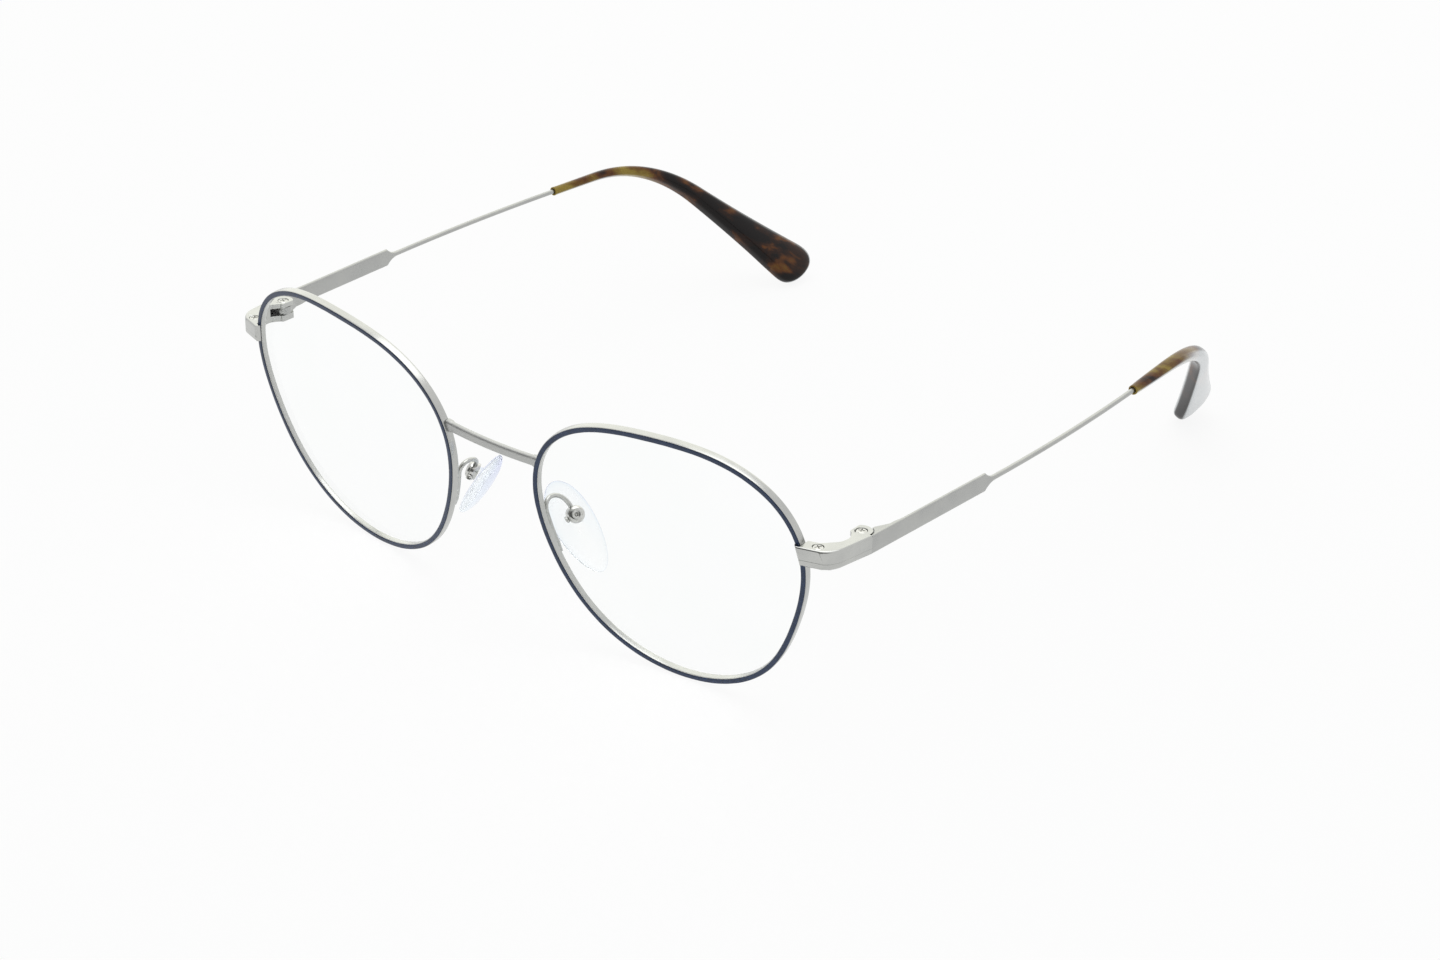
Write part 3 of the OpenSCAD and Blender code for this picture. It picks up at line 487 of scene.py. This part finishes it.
def place_pair(bm, name, node, bodies, finish, levels=0, sharp=40):
    """The left piece in its place on the table, and its mirror twin on the right."""
    made = []
    for side, side_matrix in (("left", Matrix.Identity(4)), ("right", mirrored)):
        copy = bm.copy()
        bmesh.ops.transform(copy, matrix=to_table @ side_matrix, verts=copy.verts)
        if side == "right":
            bmesh.ops.reverse_faces(copy, faces=copy.faces)
        body = bodies if isinstance(bodies, str) else bodies[side]
        stands_for = [f"{node}_{side}"]
        made.append(make_piece(copy, f"{name}_{side}", stands_for, body, finish, levels, sharp))
    bm.free()
    return made


def make_piece(bm, name, stands_for, body, finish, levels=0, sharp=40):
    mesh = bpy.data.meshes.new(name)
    bm.to_mesh(mesh)
    bm.free()
    mesh.shade_smooth()
    mesh.set_sharp_from_angle(angle=math.radians(sharp))
    mesh.materials.append(finish)
    piece = bpy.data.objects.new(name, mesh)
    scene.collection.objects.link(piece)
    if levels:
        smooth = piece.modifiers.new("smooth", "SUBSURF")
        smooth.levels = smooth.render_levels = levels
    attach(piece, body)
    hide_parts(*stands_for)
    print(name, len(mesh.polygons), "faces")
    return piece


# %% [markdown]
# ## Rims
# Each rim is one profiled wire bent round its lens and closed in the endpiece. Its section has a plain
# inner wall, which the lens is let into, a flat front for the enamel and a slightly crowned outer side,
# which gives the soft gradient along the top of the frame. The groove itself is hidden, so only the
# solid has it.

# %% Rims
lug_up = 9.3
closing_a = solve(lambda a: eye(a).y, lug_up, 0, math.radians(60))
rim_steps = 160
rim_angles = [closing_a + 2 * math.pi * i / rim_steps for i in range(rim_steps)]
rim_half, rim_mid = rim_t / 2, rim_depth / 2
rim_section = [
    (0.125 - rim_half, 0), (rim_half - 0.125, 0), (rim_half - 0.025, 0.04), (rim_half, 0.15),
    (rim_half + 0.015, rim_mid), (rim_half, rim_depth - 0.18), (rim_half - 0.045, rim_depth - 0.04),
    (rim_half - 0.165, rim_depth), (0.165 - rim_half, rim_depth), (0.035 - rim_half, rim_depth - 0.03),
    (-rim_half, rim_depth - 0.14), (-rim_half - 0.005, rim_mid), (-rim_half, 0.15),
    (0.025 - rim_half, 0.04),
]
rim_rings = [[rim_point(a, out, back) for out, back in rim_section] for a in rim_angles]
rim_bm = loft(rim_rings, endless=True)
place_pair(rim_bm, "rim_wire", "rim", "front", plated_silver, levels=1)

# %% [markdown]
# The enamel is filled by hand into the flat front of the rim, so its surface is a little domed and its
# edges wander by a few hundredths of a millimetre.

# %% Enamel
bare_edge, enamel_steps = 0.10, 320


def enamel_ring(a):
    wander = 0.012 * math.sin(9 * a) + 0.010 * math.sin(23 * a + 1) + 0.006 * math.sin(57 * a + 2)
    half = rim_half - bare_edge + wander
    section = [
        (-half, -0.005), (half, -0.005), (half, -0.07), (half - 0.06, -0.11), (0, -0.125),
        (0.06 - half, -0.11), (-half, -0.07)]
    return [rim_point(a, out, back) for out, back in section]


enamel_rings = [enamel_ring(closing_a + 2 * math.pi * i / enamel_steps) for i in range(enamel_steps)]
enamel_bm = loft(enamel_rings, endless=True)
place_pair(enamel_bm, "enamel_line", "enamel", "front", navy_enamel, levels=1)

# %% [markdown]
# ## Lenses
# A lens is a thin curved shell that snaps into its rim. The rings run from the middle of the front out to
# the edge, which is let into the rim's inner wall, and back in to the middle of the back. A lens with a
# coating against reflections hardly shows, so it casts no shadow here either.

# %% Lenses
lens_steps = 144
rim_edge, groove_back, apex_out = 0.12, 0.75, -0.135
lens_edge = rim_half - rim_edge
lens_mid = groove_back + sag(Vector((lens_w / 2, 0))) - sag(Vector((lens_w / 2 - lens_edge, 0)))
lens_angles = [2 * math.pi * i / lens_steps for i in range(lens_steps)]
shares = (0.02, 0.12, 0.25, 0.4, 0.55, 0.7, 0.84, 0.94, 0.985, 1)


def lens_ring(share, depth):
    flat = [share * (eye(a) - lens_edge * eye_normal(a)) for a in lens_angles]
    return [on_front(p, sag(p) + depth) for p in flat]


lens_rings = [lens_ring(share, lens_mid - lens_t / 2) for share in shares]
lens_rings.append([rim_point(a, apex_out, groove_back) for a in lens_angles])
lens_rings += [lens_ring(share, lens_mid + lens_t / 2) for share in reversed(shares)]
lens_bm = loft(lens_rings)
for piece in place_pair(lens_bm, "lens_glass", "lens", "front", clear_lens, sharp=30):
    piece.visible_shadow = False

# %% [markdown]
# ## Bridge
# The bridge is a flattened rod, bowed a little forwards, with a foot brazed to each rim. Its section
# travels along an arc and swells at both ends, and the ends are cut to the slope of the rims.

# %% Bridge
bridge_up, bridge_h, bridge_t, bridge_corner = 10.05, 1.9, 1.1, 0.5
bridge_bow, bridge_back, braze = 0.5, 1.1, 0.03
foot_len, foot_swell, foot_blend = 0.75, 0.24, 0.16
bridge_a = math.pi - solve(lambda a: eye(math.pi - a).y, bridge_up, 0, math.radians(60))
bridge_end = rim_point(bridge_a, rim_half + braze, bridge_back)
bridge_slope = (rim_point(bridge_a + 0.02, 0, 0) - rim_point(bridge_a - 0.02, 0, 0)).normalized()
bridge_r = (bridge_end.x ** 2 + bridge_bow ** 2) / (2 * bridge_bow)
bridge_turn = math.asin(bridge_end.x / bridge_r)


def bar_section(height, depth, corner, steps=4):
    """A rounded rectangle about the middle, as points of depth and height."""
    points = []
    for k, (sx, sy) in enumerate(((1, 1), (-1, 1), (-1, -1), (1, -1))):
        middle = Vector((sx * (depth / 2 - corner), sy * (height / 2 - corner)))
        for i in range(steps + 1):
            a = math.radians(90 * (k + i / steps))
            points.append(middle + corner * Vector((math.cos(a), math.sin(a))))
    return points


def bridge_ring(turn):
    to_end = (bridge_turn - abs(turn)) * bridge_r
    swell = foot_swell * (0.5 - 0.5 * math.tanh((to_end - foot_len) / foot_blend))
    section = bar_section(bridge_h + swell, bridge_t + swell, bridge_corner, 6)
    middle = Vector((0, bridge_end.y - bridge_bow + bridge_r, bridge_end.z))
    outward = Vector((math.sin(turn), -math.cos(turn), 0))
    return [middle + (bridge_r - p.x) * outward + Vector((0, 0, p.y)) for p in section]


bridge_steps = 96
past = bridge_turn * 1.12
bridge_bm = loft([bridge_ring(-past + 2 * past * i / bridge_steps) for i in range(bridge_steps + 1)])
across = bridge_slope.cross(lens_axis)
across *= math.copysign(1, across.x)
for side in (1, -1):
    to_side = Vector((side, 1, 1))
    cut = bmesh.ops.bisect_plane(
        bridge_bm, geom=bridge_bm.verts[:] + bridge_bm.edges[:] + bridge_bm.faces[:], dist=1e-5,
        plane_co=to_side * bridge_end, plane_no=to_side * across, clear_outer=True)
    rim_edges = [e for e in cut["geom_cut"] if isinstance(e, bmesh.types.BMEdge)]
    bmesh.ops.contextual_create(bridge_bm, geom=rim_edges)
bmesh.ops.recalc_face_normals(bridge_bm, faces=bridge_bm.faces)
bmesh.ops.transform(bridge_bm, matrix=to_table, verts=bridge_bm.verts)
make_piece(bridge_bm, "bridge_bar", ["bridge"], "front", brushed_silver)

# %% [markdown]
# ## Endpieces
# Each endpiece is a small block in two halves. Here a copy of the solid is welded from its loose
# triangles, and its outer edges are bevelled: wide along the bottom, finer along the top and at the front
# corner, and very fine along the seam between the halves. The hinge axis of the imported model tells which
# edges are high and which are low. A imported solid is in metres, and so are the widths of these bevels.

# %% Frames of the hinge
slope, splay = math.radians(10.2), math.radians(2.4)
hinge_out, hinge_back, lug_h, lug_lip = 4.2, 9.9, 3.4, 0.94
lug_slant = math.radians(18.7)
closing_out, closing_back = 2.4, 1.5
hinge_point = rim_point(closing_a, 0, 0) + Vector((
    hinge_out,
    hinge_back * math.cos(slope) + lug_h / 2 * math.sin(slope),
    lug_h / 2 * math.cos(slope) - hinge_back * math.sin(slope)))
at_hinge = Matrix.Translation(hinge_point) @ Matrix.Rotation(-slope, 4, "X")
at_temple = at_hinge @ Matrix.Rotation(-splay, 4, "Z")
front_dir = Vector((math.cos(lug_slant), math.sin(lug_slant)))
front_normal = Vector((-math.sin(lug_slant), math.cos(lug_slant)))
front_corner = Vector((-hinge_out, -hinge_back - lug_lip - lug_h / 2 * math.tan(slope)))
along_front = (closing_out - closing_back * front_normal.x) / front_dir.x
closing_spot = front_corner + closing_back * front_normal + along_front * front_dir

# %% Weld a copy of a solid and bevel its edges
joint_room, screw_room = 0.00027, 0.00105
hinges = {j["child"]: (Vector(j["pos_m"]), Vector(j["axis"]).normalized()) for j in frame["joints"]}


def welded(node):
    bm = bmesh.new()
    bm.from_mesh(frame["nodes"][node].data)
    bmesh.ops.remove_doubles(bm, verts=bm.verts, dist=1e-6)
    bmesh.ops.dissolve_limit(bm, angle_limit=math.radians(0.5), verts=bm.verts, edges=bm.edges)
    return bm


def sharp_edges(bm, least=40):
    return [e for e in bm.edges if e.is_manifold and e.calc_face_angle(0) > math.radians(least)]


def bevel(bm, edges, width, segments=3):
    bmesh.ops.bevel(
        bm, geom=edges, offset=width, offset_type="OFFSET", affect="EDGES", segments=segments, profile=0.5,
        loop_slide=True, clamp_overlap=False, material=-1)


def level_edges(bm, pos, axis, level, slack=0.00003):
    """Sharp edges that lie at one level along the hinge axis."""
    def at(v):
        return abs((v.co - pos).dot(axis) - level) < slack
    return [e for e in sharp_edges(bm) if at(e.verts[0]) and at(e.verts[1])]


def outer_edges(bm, level, pos, axis, out):
    """Edges at a level, before the joint, that look to the front or the outside and not at a screw."""
    screw_mid = to_table @ at_hinge @ Vector((closing_spot.x, closing_spot.y, 0))
    screw_mid.x *= out
    found = []
    for e in level_edges(bm, pos, axis, level):
        upright = min((f.normal for f in e.link_faces), key=lambda n: abs(n.dot(axis)))
        ahead = max(v.co.y for v in e.verts) < pos.y - joint_room
        apart = max((v.co - screw_mid).cross(axis).length for v in e.verts) > screw_room
        looks_out = upright.x * out > 0.2 or (upright.y < -0.5 and upright.x * out > -0.4)
        if ahead and apart and looks_out:
            found.append(e)
    return found


def front_corner_edges(bm, axis, out):
    """Upright edges between the front face and the end face beside the rim."""
    found = []
    for e in sharp_edges(bm, 50):
        along = (e.verts[1].co - e.verts[0].co).normalized()
        fronts = [f for f in e.link_faces if f.normal.y < -0.8]
        inner = [f for f in e.link_faces if f.normal.x * out < -0.5 and -0.8 < f.normal.y < -0.3]
        if abs(along.dot(axis)) > 0.9 and fronts and inner:
            found.append(e)
    return found


def with_weighted_normals(piece):
    piece.modifiers.new("even_shading", "WEIGHTED_NORMAL").keep_sharp = True


# %% Endpieces
edge_wide, edge_top, edge_seam, edge_corner = 0.00048, 0.00040, 0.00005, 0.00022
seam_close = 0.000045
for side, out in (("left", 1), ("right", -1)):
    pos, axis = hinges[bodies_of[side]]
    axis = axis if axis.z > 0 else -axis
    for half in ("upper", "lower"):
        bm = welded(f"endpiece_{half}_{side}")
        corners = front_corner_edges(bm, axis, out)
        print(half, side, "front corner edges:", len(corners))
        bevel(bm, corners, edge_corner, 3)
        levels = [(v.co - pos).dot(axis) for v in bm.verts]
        low, high = min(levels), max(levels)
        if half == "upper":
            bevel(bm, outer_edges(bm, high, pos, axis, out), edge_top, 4)
            bevel(bm, outer_edges(bm, low, pos, axis, out), edge_seam, 2)
        else:
            bevel(bm, outer_edges(bm, low, pos, axis, out), edge_wide, 5)
            seam = [v for v in bm.verts if (v.co - pos).dot(axis) > high - 0.00001]
            bmesh.ops.translate(bm, vec=seam_close * axis, verts=seam)
            bevel(bm, outer_edges(bm, high + seam_close, pos, axis, out), edge_seam, 2)
        name, node = f"endpiece_block_{half}_{side}", f"endpiece_{half}_{side}"
        with_weighted_normals(make_piece(bm, name, [node], "front", plated_silver))

# %% [markdown]
# ## Screws
# The screws are turned and then slotted. A profile is spun round the screw's axis for the domed head
# and the shank, and two tapered bars are cut out of the head for the cross.

# %% Spin a profile, and cut one mesh out of another
def spun(profile, steps=32):
    """Points of radius and height, turned once round Z."""
    bm = bmesh.new()
    line = [bm.verts.new((r, 0, z)) for r, z in profile]
    edges = [bm.edges.new(pair) for pair in zip(line, line[1:])]
    bmesh.ops.spin(
        bm, geom=line + edges, cent=(0, 0, 0), axis=(0, 0, 1), angle=2 * math.pi, steps=steps,
        use_merge=True)
    bmesh.ops.remove_doubles(bm, verts=bm.verts, dist=1e-4)
    bmesh.ops.recalc_face_normals(bm, faces=bm.faces)
    return bm


def cut_out(bm, tool):
    """bm without the space of tool, through Blender's exact Boolean."""
    pair = []
    for part in (bm, tool):
        mesh = bpy.data.meshes.new("cutting")
        part.to_mesh(mesh)
        part.free()
        pair.append(bpy.data.objects.new("cutting", mesh))
        scene.collection.objects.link(pair[-1])
    cut = pair[0].modifiers.new("cut", "BOOLEAN")
    cut.operation, cut.solver, cut.object = "DIFFERENCE", "EXACT", pair[1]
    bpy.context.view_layer.update()
    result = bmesh.new()
    result.from_object(pair[0], bpy.context.evaluated_depsgraph_get())
    for part in pair:
        mesh = part.data
        bpy.data.objects.remove(part)
        bpy.data.meshes.remove(mesh)
    return result


def slot_bar(length, width, depth, turn):
    """A bar, narrower at the bottom, that stands in a screw head from its top downwards."""
    bm = bmesh.new()
    made = bmesh.ops.create_cube(bm, size=1)["verts"]
    bmesh.ops.scale(bm, vec=(length, width, 2 * depth), verts=made)
    bmesh.ops.scale(bm, vec=(0.7, 0.6, 1), verts=[v for v in made if v.co.z < 0])
    bmesh.ops.rotate(bm, cent=(0, 0, 0), matrix=Matrix.Rotation(math.radians(turn), 3, "Z"), verts=made)
    return bm


def screw(head_d, head_h, shank_d, length, slot_w, slot_depth, turn):
    r, s = head_d / 2, shank_d / 2
    edge = 0.16 * head_h
    bm = spun([
        (0, 0), (0.45 * r, -0.02 * head_h), (0.8 * r, -0.10 * head_h), (r - edge, -0.22 * head_h),
        (r, -0.22 * head_h - edge), (r, -head_h + edge), (r - edge, -head_h), (s, -head_h),
        (s, -length + 0.1), (s - 0.1, -length), (0, -length),
    ])
    for arm in (45, 135):
        bm = cut_out(bm, slot_bar(0.74 * head_d, slot_w, slot_depth, arm + turn))
    return bm


# %% The two frame screws of each side
head_d, head_h, shank_d, screw_short, slot_w, slot_depth = 1.9, 0.5, 1.1, 0.1, 0.28, 0.25
for name, spot, turn in (("closing_screw", closing_spot, 8), ("hinge_screw", Vector((0, 0)), -20)):
    bm = screw(head_d, head_h, shank_d, lug_h - screw_short, slot_w, slot_depth, turn)
    bmesh.ops.transform(bm, matrix=at_hinge @ Matrix.Translation((spot.x, spot.y, 0)), verts=bm.verts)
    place_pair(bm, f"{name}_turned", name, "front", bright_steel, sharp=32)

# %% [markdown]
# ## Temples
# A temple starts as a flat bar with rounded edges, narrows to a thin wire and ends inside the tip. It is
# one section that changes along the way: a slot shape whose straight part shrinks to nothing where the
# bar becomes the wire. A round cutter then frees the hinge leaves.

# %% Temple bars
hinge_side, bar_h, bar_t, bar_len, taper_len = 2.35, 3.3, 0.7, 31.8, 2.7
wire_d, wire_len, wire_bow, core_len = 0.9, 43.3, 450.0, 11.0
bar_start, bar_mid = -0.18, -lug_h / 2
wire_x = hinge_side - bar_t / 2
taper_drop = (bar_h - wire_d) / 2
taper_r = (taper_len ** 2 + taper_drop ** 2) / (2 * taper_drop)
bar_front, block_end, block_blend = bar_start - (bar_len - taper_len), 8.4, 2.0
end_round, end_inset, leaf_room = 0.06, 0.05, 2.0


def wire_point(s):
    """Middle of the wire at a distance from the start of the taper, and its direction."""
    a = max(s, 0) / wire_bow
    x = wire_x - wire_bow * (1 - math.cos(a))
    y = bar_len - taper_len + wire_bow * math.sin(a) + min(s, 0)
    return Vector((x, y, bar_mid)), Vector((-math.sin(a), math.cos(a), 0))


def temple_ring(s, steps=8, inset=0.0):
    """Slot-shaped section: round ends, and a straight part that shrinks along the taper. Beside the hinge
    block its inner corners are square, so that bar and block share one flat top."""
    middle, ahead = wire_point(s)
    side = Vector((ahead.y, -ahead.x, 0))
    t = min(max(s / taper_len, 0), 1)
    radius = bar_t / 2 + (wire_d - bar_t) / 2 * t - inset
    rest = taper_len - min(max(s, 0), taper_len)
    high = wire_d / 2 + taper_r - math.sqrt(taper_r ** 2 - rest ** 2) - inset
    straight = max(high - radius, 0)
    square = min(max((block_end - (s - bar_front)) / block_blend, 0), 1)
    points = []
    for up in (1, -1):
        for i in range(steps + 1):
            a = math.pi * i / steps
            x, z = math.cos(a), math.sin(a)
            if up * x < 0:
                z += square * (1 - z)
            points.append(middle + up * radius * x * side + Vector((0, 0, up * (straight + radius * z))))
    return points


blend_front = bar_front + block_end - block_blend
stations = [bar_front + end_round, bar_front + 2 * end_round]
stations += [blend_front + block_blend * i / 10 for i in range(11)] + [-10, -4]
stations += [taper_len * i / 14 for i in range(15)]
stations += [taper_len + (wire_len + core_len) * i / 30 for i in range(1, 31)]
bm = loft([temple_ring(bar_front, inset=end_inset)] + [temple_ring(s) for s in stations])
leaf_cutter = bmesh.new()
bmesh.ops.create_cone(
    leaf_cutter, cap_ends=True, segments=96, radius1=leaf_room, radius2=leaf_room, depth=12)
bm = cut_out(bm, leaf_cutter)
bmesh.ops.transform(bm, matrix=at_temple, verts=bm.verts)
place_pair(bm, "temple_rod", "temple_bar", bodies_of, satin_silver, sharp=35)

# %% Hinge blocks
edge_block = 0.00005
for side in ("left", "right"):
    bm = welded(f"temple_hinge_{side}")
    bevel(bm, sharp_edges(bm, 50), edge_block, 2)
    name, node = f"hinge_block_{side}", f"temple_hinge_{side}"
    with_weighted_normals(make_piece(bm, name, [node], bodies_of[side], satin_silver))

# %% [markdown]
# ## Tips
# The tips are acetate, pushed over the wire, bent over the ear and flattened to a paddle. The section is
# round at the front and grows to a soft box with one crisp edge, at the front of the outer face. The end
# is blunt and slanted. The loft starts inside the bore, so that the front end shows its wall.

# %% Tips
tip_run, tip_bend_r, tip_drop, tip_lean = 11.75, 35.2, 32.6, math.radians(27.5)
tip_bend, tip_points = math.radians(45.5), 32
tip_angles = [2 * math.pi * (i + 0.5) / tip_points for i in range(tip_points)]
tip_start_d, paddle_h, paddle_t, paddle_round = 1.7, 10.9, 3.7, 5.5
paddle_swell, paddle_thicken, tip_skew, tip_slant, slant_run = 2.65, 0.64, 0.2, 0.34, 16
square_run, crisp_gain, crisp_from, crisp_run, crisp_fade = 17, 3.2, 22, 14, 9
tip_arc = tip_bend_r * tip_bend
tip_len = tip_run + tip_arc + tip_drop
tip_foot, tip_ahead = wire_point(taper_len + wire_len)
tip_in = math.sin(tip_lean)
tip_down = Vector((-tip_in * tip_ahead.y, tip_in * tip_ahead.x, -math.cos(tip_lean)))
tip_side = tip_ahead.cross(tip_down)


def tip_frame(s):
    """Middle of the tip at a distance along it, its direction, and the direction to its front edge."""
    a = min(max((s - tip_run) / tip_bend_r, 0), tip_bend)
    c, d = math.cos(a), math.sin(a)
    run, drop = min(s, tip_run), max(s - tip_run - tip_arc, 0)
    middle = tip_foot + (run + tip_bend_r * d + drop * c) * tip_ahead
    middle += (tip_bend_r * (1 - c) + drop * d) * tip_down
    return middle, c * tip_ahead + d * tip_down, c * tip_down - d * tip_ahead


def rounded(share, power):
    """Height of a superellipse: 2 is a circle, a higher power is closer to a square."""
    return max(1 - share ** power, 0) ** (1 / power)


def tip_ring(s):
    middle, ahead, across = tip_frame(s)
    part, past = s / tip_len, max(s - tip_len + paddle_round, 0) / paddle_round
    high = (tip_start_d + (paddle_h - tip_start_d) * part ** paddle_swell) * rounded(past, 2.6) / 2
    thick = (tip_start_d + (paddle_t - tip_start_d) * part ** paddle_thicken) * rounded(past, 5) / 2
    slant = tip_slant * min(max(1 - (tip_len - s) / slant_run, 0), 1) ** 1.5
    square = 2 + 0.5 * min(s / square_run, 1)
    crisp = square + crisp_gain * min(max((s - crisp_from) / crisp_run, 0), 1, (tip_len - s) / crisp_fade)
    middle += tip_skew * part ** 2 * across
    ring = []
    for a in tip_angles:
        x, y = math.cos(a), math.sin(a)
        k = 2 / (crisp if x < 0 and y > 0 else square)
        x, y = math.copysign(abs(x) ** k, x), math.copysign(abs(y) ** k, y)
        ring.append(middle + high * y * (across - slant * ahead) + thick * x * tip_side)
    return ring


def bore_ring(s, r):
    middle, ahead, across = tip_frame(s)
    return [middle + r * (math.sin(a) * across + math.cos(a) * tip_side) for a in tip_angles]


skin_start, tip_body = 0.3, tip_len - paddle_round
bore = ((2.0, 0.52), (0.2, 0.56), (0.02, 0.58), (0, 0.62), (0, 0.80), (0.05, 0.88))
round_end = (12, 24, 36, 48, 60, 70, 78, 84, 88)
rings = [bore_ring(s, r) for s, r in bore]
rings += [tip_ring(skin_start + (tip_body - skin_start) * i / 48) for i in range(49)]
rings += [tip_ring(tip_body + paddle_round * math.sin(math.radians(a))) for a in round_end]
tip_bm = loft(rings)
bmesh.ops.transform(tip_bm, matrix=at_temple, verts=tip_bm.verts)
place_pair(
    tip_bm, "tortoise_tip", "temple_tip", bodies_of, tortoise, levels=1, sharp=70)

# %% [markdown]
# ## Nose pads
# A bent wire carries a small cup behind each rim. The pad's lug sits in the cup on a cross screw, so the
# pad can rock. The arm is a round section along a smooth curve, the cup is spun, and the pad grows from
# its round lug into an egg-shaped cushion, ring by ring.

# %% Frame of a pad
arm_d = 0.8
foot_low, foot_high = math.radians(201), math.radians(183)
arm_back = rim_depth + arm_d / 2 + braze
arm_foot = rim_point(foot_high, 0, arm_back)
pad_out, pad_back, pad_down = 1.75, 4.7, 2.5
pad_point = arm_foot + Vector((pad_out, pad_back, -pad_down))
pad_lean = Matrix.Rotation(math.radians(-34.5), 4, "Y")
pad_splay = Matrix.Rotation(math.radians(-26), 4, "Z")
at_pad = Matrix.Translation(pad_point) @ pad_lean @ pad_splay
box_d, box_h, box_wall = 3.0, 2.0, 0.35

# %% Pad arms
arm_rise = 3.6
arm_top = at_pad @ Vector((0, 0, box_d / 2 + braze))
arm_lift = at_pad @ Vector((0, 0, box_d / 2 + arm_rise)) - at_pad @ Vector((0, 0, box_d / 2))
arm_leave = (rim_point(foot_high - math.radians(1), 0, arm_back) - arm_foot).normalized()
grip = [arm_foot, arm_foot + arm_rise * arm_leave, arm_top + arm_lift, arm_top]


def loop_point(t):
    """Point of a Bezier curve through the foot and the cup, drawn by the two grips between them."""
    u = 1 - t
    return u ** 3 * grip[0] + 3 * t * u ** 2 * grip[1] + 3 * t * t * u * grip[2] + t ** 3 * grip[3]


foot_steps, loop_steps = 12, 36
foot_angles = [foot_low + (foot_high - foot_low) * i / foot_steps for i in range(foot_steps)]
path = [rim_point(a, 0, arm_back) for a in foot_angles]
path += [loop_point(i / loop_steps) for i in range(loop_steps + 1)]


def tube(path, radii, sides=16):
    """A round section along a path, turned as little as possible from point to point."""
    rings = []
    up = Vector((1, 0, 0))
    for i, (p, r) in enumerate(zip(path, radii)):
        ahead = (path[min(i + 1, len(path) - 1)] - path[max(i - 1, 0)]).normalized()
        up = (up - up.dot(ahead) * ahead).normalized()
        side = ahead.cross(up)
        angles = [2 * math.pi * j / sides for j in range(sides)]
        rings.append([p + r * (math.cos(a) * up + math.sin(a) * side) for a in angles])
    return rings


radii = [arm_d / 2 * min(1, 0.55 + 0.18 * i) for i in range(len(path))]
place_pair(loft(tube(path, radii)), "pad_wire", "pad_arm", "front", plated_silver, sharp=50)

# %% Pad boxes and their screws
half, r, inner = box_h / 2, box_d / 2, box_d / 2 - box_wall
cup = spun([
    (0, half - 0.5), (0.28, half - 0.32), (0.36, half - 0.06), (0.44, half), (r - 0.6, half - 0.03),
    (r - 0.3, half - 0.14), (r - 0.1, half - 0.34), (r, half - 0.64), (r, 0.12 - half),
    (r - 0.1, 0.02 - half), (inner + 0.08, -half), (inner, 0.1 - half),
    (inner, half - box_wall), (0.6, half - box_wall), (0.5, half - 0.6), (0, half - 0.6),
], steps=48)
bmesh.ops.rotate(cup, cent=(0, 0, 0), matrix=Matrix.Rotation(math.radians(90), 3, "Y"), verts=cup.verts)
bmesh.ops.transform(cup, matrix=at_pad, verts=cup.verts)
place_pair(cup, "pad_cup", "pad_box", "front", bright_steel, sharp=50)

cross_d, cross_head_d, cross_head_h, cross_slot = 0.7, 1.2, 0.4, 0.2
cross = screw(cross_head_d, cross_head_h, cross_d, box_d + cross_head_h, cross_slot, cross_slot, 10)
bmesh.ops.rotate(cross, cent=(0, 0, 0), matrix=Matrix.Rotation(math.radians(90), 3, "X"), verts=cross.verts)
bmesh.ops.translate(cross, vec=(0, -box_d / 2 - cross_head_h - braze, 0), verts=cross.verts)
bmesh.ops.transform(cross, matrix=at_pad, verts=cross.verts)
place_pair(cross, "pad_screw_turned", "pad_screw", "front", bright_steel, sharp=32)

# %% Pads
pad_len, pad_w, pad_t, pad_stand, pad_low, pad_fore = 17.4, 8.0, 1.4, 2.45, 2.3, 0.5
pad_turn, pad_egg, pad_sides, lug_pin_r = math.radians(20), 0.14, 32, 0.9
on_lug = Matrix.Translation((-pad_stand, 0, 0)) @ Matrix.Rotation(pad_turn, 4, "Z")


def pad_ring(share, depth, lug=0.0):
    """A ring of the pad: the egg outline, drawn in towards the round lug."""
    ring = []
    for i in range(pad_sides):
        a = 2 * math.pi * i / pad_sides
        y = share * pad_w / 2 * math.cos(a) * (1 + pad_egg * math.sin(a)) - pad_fore
        z = share * pad_len / 2 * math.sin(a) - pad_low
        face = on_lug @ Vector((depth * pad_t, y, z))
        pin = Vector((depth * pad_t - pad_stand, lug_pin_r * math.cos(a), lug_pin_r * math.sin(a)))
        ring.append(at_pad @ face.lerp(pin, lug))
    return ring


lug_end = (box_h / 2 - 2 * box_wall + pad_stand) / pad_t
lug_rings = ((0, lug_end, 0.3), (0, lug_end, 0.9), (0, lug_end - 0.05, 1), (0, 0.95, 1), (0, 0.66, 1.15))
back_rings = ((0.42, 0.52, 0.25), (0.72, 0.43), (0.9, 0.30), (0.98, 0.14), (1, 0))
face_rings = ((0.985, -0.20), (0.91, -0.52), (0.72, -0.86), (0.42, -1.10), (0.1, -1.18))
pad_bm = loft([pad_ring(*values) for values in lug_rings + back_rings + face_rings])
pad_bodies = {"left": "left_nose_pad", "right": "right_nose_pad"}
pads = place_pair(pad_bm, "soft_pad", "nose_pad", pad_bodies, clear_pad, levels=2, sharp=80)
for pad in pads:
    pad.visible_shadow = False
